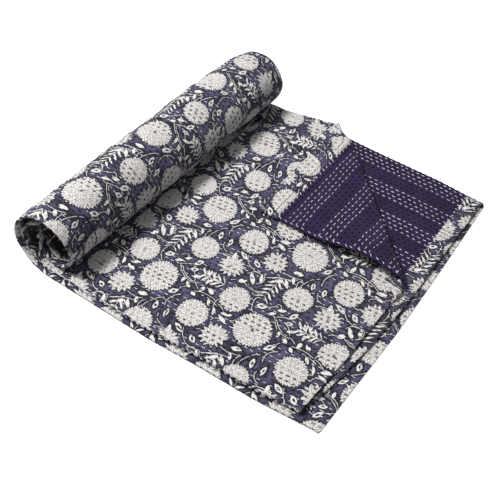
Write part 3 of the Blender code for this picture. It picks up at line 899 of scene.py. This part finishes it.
# Stems: (start, middle and end, each across and along; gap between the lines of a double stem)
STEMS = (
    (1.9, 24.6, -0.1, 22.6, 0.0, 20.6, 0.0), (0.2, 21.0, 1.0, 18.8, 2.1, 16.9, 0.55),
    (0.0, 20.6, 2.1, 16.5, 4.6, 12.9, 0.0), (0.9, 14.8, 2.9, 14.3, 4.5, 13.0, 0.0),
    (3.4, 12.0, 4.8, 12.3, 6.3, 11.3, 0.0), (3.6, 11.2, 6.6, 11.0, 9.2, 11.2, 0.0),
    (9.2, 11.2, 10.4, 11.9, 11.1, 13.1, 0.0), (7.0, 12.1, 7.6, 11.9, 8.0, 11.1, 0.0),
    (9.2, 11.4, 9.8, 13.5, 11.1, 14.8, 0.30), (11.1, 14.9, 11.6, 14.2, 12.1, 13.2, 0.0),
    (12.0, 16.9, 12.4, 16.3, 13.1, 15.8, 0.0), (8.0, 27.0, 8.2, 24.8, 7.5, 22.2, 0.45),
    (9.0, 23.4, 8.2, 23.6, 6.9, 23.0, 0.0), (0.5, 27.9, 1.0, 28.9, 1.9, 29.2, 0.0),
    (17.0, 21.2, 16.4, 22.4, 15.6, 22.8, 0.0), (2.6, 23.0, 2.9, 22.6, 3.0, 22.0, 0.0),
    (2.2, 18.4, 2.2, 16.7, 2.7, 15.1, 0.0), (0.1, 19.4, 0.9, 17.9, 1.2, 16.9, 0.30),
    (13.1, 15.8, 13.3, 15.3, 12.7, 15.0, 0.0), (6.7, 20.1, 6.9, 19.6, 7.4, 19.4, 0.0),
    (13.8, 21.9, 13.3, 20.6, 13.5, 18.9, 0.30), (12.8, 24.3, 13.4, 23.7, 13.6, 23.1, 0.0),
    (9.3, 28.6, 9.1, 28.0, 8.6, 27.2, 0.0), (14.6, 20.7, 15.7, 20.0, 17.1, 20.5, 0.0),
    (9.9, 17.9, 11.0, 18.9, 12.6, 18.9, 0.0), (12.9, 11.4, 13.0, 12.0, 12.9, 12.5, 0.0),
    (5.0, 22.3, 5.8, 21.9, 6.0, 21.4, 0.0), (16.9, 25.9, 17.0, 27.0, 16.6, 28.2, 0.30),
    (0.3, 14.9, 1.3, 15.4, 2.6, 15.0, 0.0),
)
# Sprigs: (start across and along, angle, length, length of a leaf, space between leaves)
SPRIGS = (
    (18.2, 18.1, 178, 4.9, 1.35, 0.98),
    (11.6, 24.5, 94, 3.7, 1.25, 0.86),
)
# Tufts: (across, along, radius, leaves, angle)
TUFTS = (
    (11.5, 27.0, 1.55, 9, 12),
)
CM = 0.01
PETAL_SWAY = 0.05  # how unevenly the petals follow each other, in radians
PETAL_LONG = 0.0054  # between the rings of petals inside a flower
FIRST_PETALS, RING_PETALS = 7.0, 6.0  # petals in the first ring, and how many more in each next
RING_SHIFT = 0.37  # from ring to ring, as a share of a petal
EYE_SMALL = 2.6  # a bud is so many times as large as its eye
SPRIG_SLANT, SPRIG_WIDE = 0.75, 0.0095  # its leaves' slant and width
TUFT_START, TUFT_WIDE = 0.28, 0.0135  # where its leaves begin, as a share, and their width
STEM_HALF = 0.00050  # half the width of a printed line
HALO_NEAR, HALO_FAR = 0.0010, 0.0048  # the ground is darkest this near to a motif
PRINT_WANDERS = ((130.0, 2.0, 0.0024), (34.0, 1.0, 0.0050))  # scale, detail, how far it wanders
# From how far a stitch pulls the cloth in, and within what distance fully
PULL_ASIDE, PULL_AHEAD = (0.0023, 0.0009), (0.0036, 0.0014)


# ---------------------------------------------------------------- node trees

NUMBER, VECTOR = "NodeSocketFloat", "NodeSocketVector"


class Wire:
    """What comes out of a node. Arithmetic on wires lays out the nodes that do it."""

    def __init__(self, tree, socket):
        self.tree = tree
        self.socket = socket

    def __add__(self, other):
        return self.tree.math("ADD", self, other)

    def __sub__(self, other):
        return self.tree.math("SUBTRACT", self, other)

    def __rsub__(self, other):
        return self.tree.math("SUBTRACT", other, self)

    def __mul__(self, other):
        return self.tree.math("MULTIPLY", self, other)

    def __truediv__(self, other):
        return self.tree.math("DIVIDE", self, other)

    def __abs__(self):
        return self.tree.math("ABSOLUTE", self)


class Tree:
    """Short calls for laying out the nodes of a material or of a node group."""

    def __init__(self, tree):
        self.tree = tree
        self.count = 0

    def node(self, kind, **settings):
        node = self.tree.nodes.new(kind)
        node.location = (180.0 * (self.count % 24), -170.0 * (self.count // 24))
        self.count += 1
        for name, value in settings.items():
            setattr(node, name, value)
        return node

    def feed(self, socket, value):
        if isinstance(value, Wire):
            self.tree.links.new(value.socket, socket)
        elif value is not None:
            socket.default_value = value

    def fill(self, node, values):
        """Feeds a node's inputs by name and gives its outputs by name."""
        for name, value in values.items():
            self.feed(node.inputs[name.replace("_", " ")], value)
        return {socket.name: Wire(self, socket) for socket in node.outputs}

    def run(self, node, values, out=0):
        """Feeds a node's inputs in order and gives one output."""
        for socket, value in zip(node.inputs, values):
            self.feed(socket, value)
        return Wire(self, node.outputs[out])

    def math(self, operation, *values):
        return self.run(self.node("ShaderNodeMath", operation=operation), values)

    def vector(self, operation, *values, out="Vector"):
        return self.run(self.node("ShaderNodeVectorMath", operation=operation), values, out)

    def length(self, vector):
        return self.vector("LENGTH", vector, out="Value")

    def dot(self, vector, other):
        return self.vector("DOT_PRODUCT", vector, other, out="Value")

    def least(self, first, *others):
        for other in others:
            first = self.math("MINIMUM", first, other)
        return first

    def most(self, first, other):
        return self.math("MAXIMUM", first, other)

    def step(self, low, high, value):
        """0 below low, 1 above high, smooth between."""
        node = self.node("ShaderNodeMapRange", interpolation_type="SMOOTHSTEP")
        return self.fill(node, {"Value": value, "From Min": low, "From Max": high})["Result"]

    def blend(self, share, a, b, how="MIX"):
        """Colour a, with a share of colour b; the node's inputs go by number."""
        node = self.node("ShaderNodeMix", data_type="RGBA", blend_type=how)
        for number, value in ((0, share), (6, a), (7, b)):
            self.feed(node.inputs[number], value)
        return Wire(self, node.outputs[2])

    def noise(self, place, scale, detail, out="Fac"):
        values = {"Vector": place, "Scale": scale, "Detail": detail}
        node = self.node("ShaderNodeTexNoise")
        self.fill(node, values)
        return Wire(self, node.outputs[out])

    def parts(self, vector):
        node = self.node("ShaderNodeSeparateXYZ")
        self.feed(node.inputs[0], vector)
        return [Wire(self, socket) for socket in node.outputs]

    def joined(self, x, y):
        return self.run(self.node("ShaderNodeCombineXYZ"), (x, y, 0.0))

    def source(self, kind, out, **settings):
        """One output of a node that needs no input."""
        return Wire(self, self.node(kind, **settings).outputs[out])

    def group(self, group, **values):
        """A node group in place, its inputs fed by name; gives its outputs."""
        node = self.node("ShaderNodeGroup")
        node.node_tree = group
        return self.fill(node, values)


def new_group(name, inputs, outputs):
    """A node group with named sockets: (its tree, its inputs, a call that feeds its outputs)."""
    group = bpy.data.node_groups.new(name, "ShaderNodeTree")
    for way, sockets in (("INPUT", inputs), ("OUTPUT", outputs)):
        for label, kind in sockets.items():
            group.interface.new_socket(label, in_out=way, socket_type=kind)
    tree = Tree(group)
    given = tree.fill(tree.node("NodeGroupInput"), {})
    result = tree.node("NodeGroupOutput")

    def put_out(**values):
        tree.fill(result, values)
        return group

    return tree, given, put_out


def motif_group(name, numbers, outputs=("Inside",)):
    """A group for one printed motif, and the way from the nearest such motif's centre."""
    inputs = {"Place": VECTOR, "Centre": VECTOR, **dict.fromkeys(numbers, NUMBER)}
    tree, given, put_out = new_group(name, inputs, dict.fromkeys(outputs, NUMBER))
    half = (0.5 * REPEAT_ACROSS, 0.5 * REPEAT_ALONG, 0.5)
    away = tree.vector("SUBTRACT", given["Place"], given["Centre"])
    away = tree.vector("WRAP", away, half, tuple(-s for s in half))
    return tree, given, put_out, away


def ahead_and_aside(tree, given, away):
    """How far a place lies along a motif's own direction, and across it."""
    ahead = tree.dot(away, tree.joined(given["Cosine"], given["Sine"]))
    aside = tree.dot(away, tree.joined(given["Sine"] * -1.0, given["Cosine"]))
    return ahead, aside


def bloom_group():
    """A round flower of many pointed petals, with the fine cuts between its inner petals."""
    names = ("Radius", "Petals", "Cut", "Turn")
    tree, given, put_out, away = motif_group("print_bloom", names, ("Inside", "Cuts"))
    x, y = tree.parts(away)[:2]
    distance = tree.length(away)
    angle = tree.math("ARCTAN2", y, x) + given["Turn"]
    angle = angle + tree.math("SINE", angle * 5.0) * PETAL_SWAY
    turns = angle * (1.0 / CIRCLE)
    depth = tree.math("PINGPONG", turns * given["Petals"], 0.5) * 2.0 * given["Cut"]
    inside = given["Radius"] * (1.0 - depth) - distance
    share = distance / given["Radius"]
    ring = distance / PETAL_LONG
    number = tree.math("FLOOR", ring)
    petals = turns * (number * RING_PETALS + FIRST_PETALS) + number * RING_SHIFT
    between = tree.math("PINGPONG", petals, 0.5) * 2.0
    off_line = abs(tree.math("FRACT", ring) - (1.0 - between * between))
    cut = tree.step(0.36, 0.12, off_line) * (between * 0.8 + 0.35) * tree.step(0.97, 0.86, share)
    return put_out(Inside=inside, Cuts=tree.most(cut, tree.step(0.13, 0.05, share)))


def leaf_group():
    """A pointed leaf, or a bud with a dark eye."""
    names = ("Cosine", "Sine", "Half Length", "Half Width", "Eye")
    tree, given, put_out, away = motif_group("print_leaf", names)
    ahead, aside = ahead_and_aside(tree, given, away)
    share = ahead / given["Half Length"]
    inside = (1.0 - share * share) * given["Half Width"] - abs(aside)
    across = aside / given["Half Width"]
    from_eye = tree.length(tree.joined(share * EYE_SMALL, across * EYE_SMALL))
    outside_eye = (from_eye - 0.9) * 0.0008 + (1.0 - given["Eye"])
    return put_out(Inside=tree.least(inside, outside_eye))


def stem_group():
    """A line along an arc of a circle, single or double."""
    names = ("Radius", "Half Gap", "Reach", "Way X", "Way Y")
    tree, given, put_out, away = motif_group("print_stem", names)
    off = abs(tree.length(away) - given["Radius"]) - given["Half Gap"]
    line = STEM_HALF - abs(off)
    ends = tree.dot(away, tree.joined(given["Way X"], given["Way Y"])) - given["Reach"]
    return put_out(Inside=tree.least(line, ends))


def sprig_group():
    """A straight stem with pairs of slanting leaves."""
    names = ("Cosine", "Sine", "Length", "Leaf", "Space")
    tree, given, put_out, away = motif_group("print_sprig", names)
    ahead, aside = ahead_and_aside(tree, given, away)
    aside = abs(aside)
    slanted = ahead - aside * SPRIG_SLANT
    off = (0.5 - tree.math("PINGPONG", slanted / given["Space"] + 0.5, 0.5)) * given["Space"]
    share = aside / given["Leaf"]
    leaf = tree.least(share * (1.0 - share) * SPRIG_WIDE - off, slanted, given["Length"] - slanted)
    stalk = tree.least(STEM_HALF * 0.8 - aside, given["Length"] - ahead, ahead)
    return put_out(Inside=tree.most(leaf, stalk))


def tuft_group():
    """Leaves that spread from one point."""
    tree, given, put_out, away = motif_group("print_tuft", ("Radius", "Leaves", "Turn"))
    x, y = tree.parts(away)[:2]
    angle = tree.math("ARCTAN2", y, x) + given["Turn"]
    distance = tree.length(away)
    off = tree.math("PINGPONG", angle * (1.0 / CIRCLE) * given["Leaves"], 0.5)
    off = off * CIRCLE / given["Leaves"] * distance
    share = distance / (given["Radius"] * (tree.math("SINE", angle * 4.0) * 0.18 + 0.86))
    return put_out(Inside=(share - TUFT_START) * (1.0 - share) * TUFT_WIDE - off)


def arc_through(points):
    """The circle through three points: centre, radius, and the arc's middle direction and reach."""
    a, b, c = np.array(points).reshape(3, 2) * CM
    rows = 2.0 * np.array([b - a, c - a])
    centre = np.linalg.solve(rows, np.array([b @ b - a @ a, c @ c - a @ a]))
    way = (a + c) / 2.0 - centre
    if (b - (a + c) / 2.0) @ way < 0.0:
        way = -way
    way = way / np.linalg.norm(way)
    return centre, np.linalg.norm(a - centre), way, (a - centre) @ way


def charted_motifs():
    """Every motif of the print: (group, centre in metres, the group's other inputs)."""

    def heading(angle):
        return {"Cosine": math.cos(math.radians(angle)), "Sine": math.sin(math.radians(angle))}

    bloom, leaf, stem = bloom_group(), leaf_group(), stem_group()
    sprig, tuft = sprig_group(), tuft_group()
    for x, y, radius, petals, cut in BLOOMS:
        values = {"Radius": radius * CM, "Petals": petals, "Cut": cut, "Turn": 0.7 * x}
        yield bloom, (x * CM, y * CM), values
    for x, y, angle, length, width, eye in LEAVES:
        values = {"Half Length": 0.5 * length * CM, "Half Width": 0.5 * width * CM, "Eye": eye}
        yield leaf, (x * CM, y * CM), {**heading(angle), **values}
    for *points, gap in STEMS:
        centre, radius, way, reach = arc_through(points)
        values = {"Radius": radius, "Half Gap": 0.5 * gap * CM, "Reach": reach}
        yield stem, centre, {**values, "Way X": way[0], "Way Y": way[1]}
    for x, y, angle, length, leaf_length, space in SPRIGS:
        values = {"Length": length * CM, "Leaf": leaf_length * CM, "Space": space * CM}
        yield sprig, (x * CM, y * CM), {**heading(angle), **values}
    for x, y, radius, leaves, angle in TUFTS:
        values = {"Radius": radius * CM, "Leaves": leaves, "Turn": math.radians(angle)}
        yield tuft, (x * CM, y * CM), values


def print_group():
    """The whole printed design: how far a place is inside a motif, and the cuts in the flowers."""
    outputs = {"Inside": NUMBER, "Cuts": NUMBER}
    tree, given, put_out = new_group("print_design", {"Place": VECTOR}, outputs)
    place = given["Place"]
    for scale, detail, reach in PRINT_WANDERS:
        aside = tree.noise(given["Place"], scale, detail, "Color")
        aside = tree.vector("SUBTRACT", aside, (0.5, 0.5, 0.5))
        place = tree.vector("MULTIPLY_ADD", aside, (reach, reach, 0.0), place)
    inside, cuts = -1.0, 0.0
    for group, centre, values in charted_motifs():
        out = tree.group(group, Place=place, Centre=(*centre, 0.0), **values)
        inside = tree.most(inside, out["Inside"])
        if "Cuts" in out:
            cuts = tree.most(cuts, tree.step(0.0, 0.0003, out["Inside"]) * out["Cuts"])
    return put_out(Inside=inside, Cuts=cuts)


def stitch_group():
    """How far the cloth is pulled in round each running stitch."""
    inputs = {"Place": VECTOR, "Shift": NUMBER}
    outputs = {"Pull": NUMBER, "Dark Row": NUMBER}
    tree, given, put_out = new_group("running_stitches", inputs, outputs)
    u, v = tree.parts(given["Place"])[:2]
    row = u / ROW_PITCH
    number = tree.math("FLOOR", row)
    phase = tree.math("FRACT", number * ROW_SHIFT) + 0.5 + given["Shift"]
    aside = abs(tree.math("FRACT", row) - 0.5) * ROW_PITCH
    ahead = abs(tree.math("FRACT", v / STITCH_PITCH + phase) - 0.5) * STITCH_PITCH
    pull = tree.step(*PULL_ASIDE, aside) * tree.step(*PULL_AHEAD, ahead)
    kind = tree.math("MODULO", number + (4.0 * BAND_ROWS - WHITE_FROM), BAND_ROWS)
    return put_out(Pull=pull, Dark_Row=tree.math("GREATER_THAN", kind, WHITE_ROWS - 0.5))


def weave_group():
    """Plain weave: crossing threads, a little uneven, with slubs."""
    inputs = {"Place": VECTOR, "Thread": NUMBER}
    outputs = {"Height": NUMBER, "Shade": NUMBER}
    tree, given, put_out = new_group("cotton_weave", inputs, outputs)
    u, v = tree.parts(given["Place"])[:2]
    across, lengthwise = (tree.math("SINE", at * CIRCLE / given["Thread"]) for at in (u, v))
    slub = tree.noise(tree.vector("MULTIPLY", given["Place"], (1.0, 5.0, 1.0)), 260.0, 3.0)
    fine = tree.noise(given["Place"], 900.0, 2.0)
    height = across * lengthwise * 0.5 + 0.5 + slub * 0.8
    return put_out(Height=height, Shade=slub * 0.6 + fine * 0.4)


def hollow_group():
    """How deep a place lies inside the roll, where the studio light doesn't reach it."""
    tree, given, put_out = new_group("inside_the_roll", {"Place": VECTOR}, {"Deep": NUMBER})
    u, v = tree.parts(given["Place"])[:2]
    upper = tree.math("GREATER_THAN", u, 0.5 * CLOTH_ACROSS)
    first = upper * tree.step(WOUND_FROM, WOUND_FROM + 0.05, v)
    inside = tree.most(first, tree.step(SECOND_TURN - 0.01, SECOND_TURN + 0.02, v))
    off_fold = tree.math("PINGPONG", u + 0.5 * FOLD, 0.5 * (PANEL + FOLD))
    return put_out(Deep=inside * tree.step(0.004, 0.016, off_fold))


def srgb(red, green, blue):
    """A colour as it is seen on a screen, from 0 to 255, as Blender wants it."""
    found = []
    for value in (red, green, blue):
        value = value / 255.0
        found.append(value / 12.92 if value <= 0.04045 else ((value + 0.055) / 1.055) ** 2.4)
    return (*found, 1.0)


INDIGO = srgb(72, 71, 97)  # the printed ground, away from the motifs
INDIGO_DEEP_AND_STITCH_SHADE = srgb(28, 25, 37)  # and close round them; also the painted shade where a stitch pulls the print in
CREAM = srgb(207, 204, 200)
CREAM_WORN = srgb(171, 167, 167)
BACK = srgb(37, 25, 53)
BACK_LIGHT = srgb(43, 33, 67)
# dark navy, both for the weave's uneven tone and for the painted shade in the stitches' dimples
BACK_DEEP_AND_DIMPLE_SHADE = srgb(10, 6, 17)
PAINTED_HOLLOW_SHADE = srgb(12, 9, 15)  # painted shade over the print inside the roll
THREAD_WHITE = srgb(238, 232, 242)
THREAD_DARK = srgb(17, 12, 28)
THREAD_SHADE = srgb(110, 102, 122)  # between the strands
FLOOR_COLOUR = (0.45, 0.45, 0.45, 1.0)
FLOOR_GLOW = 0.90  # what the floor adds of its own light where the camera sees it
WHITE = (1.0, 1.0, 1.0, 1.0)

# How the cottons are finished
WEAVE_PITCH = 0.0008  # from thread to thread
CLOTH_BUMP, THREAD_BUMP = 0.0009, 0.0002  # the height of the bumps
WEAVE_BUMP = 0.12  # the weave's share of it
PRINT_PULL, BACK_PULL = 0.8, 0.9  # and the stitches' share, on the print and on the back
PAINTED_SHADE_AT_STITCH = 0.58  # painted shade: how much darker the print is drawn where a stitch pulls it in
# how much painted shade is laid over the print deep inside the roll
PAINTED_SHADE_IN_ROLL = 0.80
HALO_PATCHES = (0.30, 0.62)  # the light ground comes in patches
INK_PATCHES = (0.36, 0.62)  # and the ink of the petals' cuts too
INK_LEAST = 0.38
PRINT_EDGE = (-0.00010, 0.00022)  # the motifs' outlines are this soft


def new_material(name, **looks):
    """A material with a Principled shader of these looks: (material, its tree, shader)."""
    material = bpy.data.materials.new(name)
    material.use_nodes = True
    tree = Tree(material.node_tree)
    shader = material.node_tree.nodes["Principled BSDF"]
    tree.fill(shader, looks)
    return material, tree, shader


def finish_cotton(tree, shader, colour, height, distance):
    """Gives a cotton its colour and its bumps."""
    bump = tree.node("ShaderNodeBump")
    bump = tree.fill(bump, {"Strength": 1.0, "Distance": distance, "Height": height})
    tree.fill(shader, {"Base Color": colour, "Sheen Roughness": 0.6, "Normal": bump["Normal"]})


def printed_cotton(groups):
    """The front: cream flowers, leaves and stems on indigo, with the stitching over them, and painted
    shade at the stitches and deep inside the roll.
    """
    material, tree, shader = new_material(
        "printed_cotton", Roughness=0.9, Sheen_Weight=0.09, Specular_IOR_Level=0.22
    )
    place = tree.source("ShaderNodeUVMap", "UV", uv_map="print")
    flat = tree.source("ShaderNodeUVMap", "UV", uv_map="cloth")
    design = tree.group(groups["print"], Place=place)
    pull = tree.group(groups["stitches"], Place=flat, Shift=0.5)["Pull"]
    weave = tree.group(groups["weave"], Place=flat, Thread=WEAVE_PITCH)
    deep = tree.group(groups["hollow"], Place=flat)["Deep"]
    halo = tree.step(HALO_NEAR, HALO_FAR, design["Inside"] * -1.0)
    halo = halo * tree.step(*HALO_PATCHES, tree.noise(place, 45.0, 3.0))
    ground = tree.blend(halo, INDIGO_DEEP_AND_STITCH_SHADE, INDIGO)
    cream = tree.blend(tree.step(0.45, 0.75, weave["Shade"]), CREAM, CREAM_WORN)
    printed = tree.step(*PRINT_EDGE, design["Inside"])
    inked = tree.step(*INK_PATCHES, tree.noise(place, 260.0, 1.0)) * (1.0 - INK_LEAST) + INK_LEAST
    colour = tree.blend(printed, ground, cream)
    colour = tree.blend(design["Cuts"] * printed * inked, colour, INDIGO_DEEP_AND_STITCH_SHADE)
    # painted shade in the dimple that each stitch pulls into the print
    colour = tree.blend(pull * PAINTED_SHADE_AT_STITCH, colour, INDIGO_DEEP_AND_STITCH_SHADE)
    # painted shade: the print deep inside the roll is drawn darker, for the hollow that the lamp
    # doesn't reach
    colour = tree.blend(deep * PAINTED_SHADE_IN_ROLL, colour, PAINTED_HOLLOW_SHADE)
    height = weave["Height"] * WEAVE_BUMP - pull * PRINT_PULL
    finish_cotton(tree, shader, colour, height, CLOTH_BUMP)
    return material


def plain_cotton(groups):
    """The back: dark plain cotton, dimpled by its stitches, with painted shade in the dimples."""
    material, tree, shader = new_material(
        "plain_cotton", Roughness=0.92, Sheen_Weight=0.045, Specular_IOR_Level=0.12
    )
    flat = tree.source("ShaderNodeUVMap", "UV", uv_map="cloth")
    stitches = tree.group(groups["stitches"], Place=flat, Shift=0.0)
    weave = tree.group(groups["weave"], Place=flat, Thread=WEAVE_PITCH)
    colour = tree.blend(tree.step(0.35, 0.70, tree.noise(flat, 30.0, 3.0)), BACK, BACK_LIGHT)
    colour = tree.blend(tree.step(0.40, 0.75, weave["Shade"]) * 0.35, colour, BACK_DEEP_AND_DIMPLE_SHADE)
    # painted shade in the dimple round each stitch, deeper on the rows of dark thread
    depth = stitches["Dark Row"] * 0.45 + 0.35
    colour = tree.blend(stitches["Pull"] * depth, colour, BACK_DEEP_AND_DIMPLE_SHADE)
    height = weave["Height"] * WEAVE_BUMP - stitches["Pull"] * BACK_PULL
    finish_cotton(tree, shader, colour, height, CLOTH_BUMP)
    return material


def thread(name, colour):
    """Sewing cotton, with the twist of its strands."""
    material, tree, shader = new_material(
        name, Roughness=0.8, Sheen_Weight=0.0, Specular_IOR_Level=0.03
    )
    shade = tree.noise(tree.source("ShaderNodeTexCoord", "Object"), 700.0, 2.0)
    # painted shade between the twisted strands
    strand_shaded = tree.blend(shade * 0.25, colour, THREAD_SHADE, "MULTIPLY")
    finish_cotton(tree, shader, strand_shaded, shade, THREAD_BUMP)
    return material


def floor_material():
    """A pale floor that glows a little to the camera, so that it looks lit from all round."""
    material, tree, shader = new_material(
        "pale_floor", Base_Color=FLOOR_COLOUR, Roughness=0.9, Emission_Color=WHITE
    )
    seen = tree.source("ShaderNodeLightPath", "Is Camera Ray")
    tree.fill(shader, {"Emission Strength": seen * FLOOR_GLOW})
    return material


# ---------------------------------------------------------------- camera and light

FLOOR_HALF = 6.0
FLOOR_DROP = 0.0005  # the floor lies this far below the quilt
SKY_BRIGHT, SKY_LOW = 0.42, 0.09  # what the sky adds overhead, and how bright it is low down
LAMP_AT, LAMP_SIZE, LAMP_POWER = (-0.56, 0.96, 2.4), 0.6, 91.0


def place_camera():
    """The photograph's camera."""
    camera = bpy.data.cameras.new("camera")
    camera.lens = CAMERA_LENS
    camera.sensor_width = SENSOR
    camera.clip_start = 0.01
    obj = in_scene("camera", camera)
    forward, up = Vector(CAMERA_FORWARD), Vector(CAMERA_UP)
    right = forward.cross(up).normalized()
    up = right.cross(forward).normalized()
    turn = Matrix((right, up, -forward)).transposed()
    obj.matrix_world = Matrix.Translation(Vector(CAMERA_AT) + Vector(CORNER)) @ turn.to_4x4()
    bpy.context.scene.camera = obj


def place_lamp():
    """A soft square lamp that looks at the middle of the floor."""
    lamp = bpy.data.lights.new("key_light", "AREA")
    lamp.shape = "SQUARE"
    lamp.size = LAMP_SIZE
    lamp.energy = LAMP_POWER
    turn = (-Vector(LAMP_AT)).to_track_quat("-Z", "Y").to_matrix().to_4x4()
    in_scene("key_light", lamp).matrix_world = Matrix.Translation(LAMP_AT) @ turn


def build_stage():
    """A pale floor and soft studio light."""
    mesh = bpy.data.meshes.new("floor")
    bm = bmesh.new()
    bmesh.ops.create_grid(bm, x_segments=1, y_segments=1, size=FLOOR_HALF)
    bm.to_mesh(mesh)
    bm.free()
    mesh.materials.append(floor_material())
    floor = in_scene("floor", mesh)
    floor.location = (0.0, 0.0, -FLOOR_DROP)
    world = bpy.data.worlds.new("studio")
    bpy.context.scene.world = world
    world.use_nodes = True
    sky = Tree(world.node_tree)
    up = sky.parts(sky.source("ShaderNodeTexCoord", "Generated"))[2]
    glow = sky.step(0.0, 0.9, up) * SKY_BRIGHT + SKY_LOW
    seen = sky.source("ShaderNodeLightPath", "Is Camera Ray")
    background = world.node_tree.nodes["Background"]
    sky.fill(background, {"Color": WHITE, "Strength": sky.most(glow, seen)})
    place_lamp()
    bpy.context.scene.view_settings.view_transform = "Standard"


# ---------------------------------------------------------------- the whole

def main():
    cloth = build_cloth()
    groups = {
        "print": print_group(), "stitches": stitch_group(), "weave": weave_group(),
        "hollow": hollow_group(),
    }
    cloth.data.materials.append(printed_cotton(groups))
    cloth.data.materials.append(plain_cotton(groups))
    white = thread("white_thread", THREAD_WHITE)
    dark = thread("dark_thread", THREAD_DARK)
    threads = (
        ("white_running_stitches", running_stitches(True), white, STITCH_WIDE, STITCH_HIGH),
        ("dark_running_stitches", running_stitches(False), dark, DARK_WIDE, DARK_HIGH),
        ("hem_stitches", hem_stitches(), white, STITCH_WIDE, STITCH_HIGH),
    )
    for name, rows, material, wide, high in threads:
        piece = build_threads(name, rows, wide, high)
        piece.data.materials.append(material)
        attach(piece, "root")
    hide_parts("quilt")
    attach(cloth, "root")
    place_camera()
    build_stage()


main()
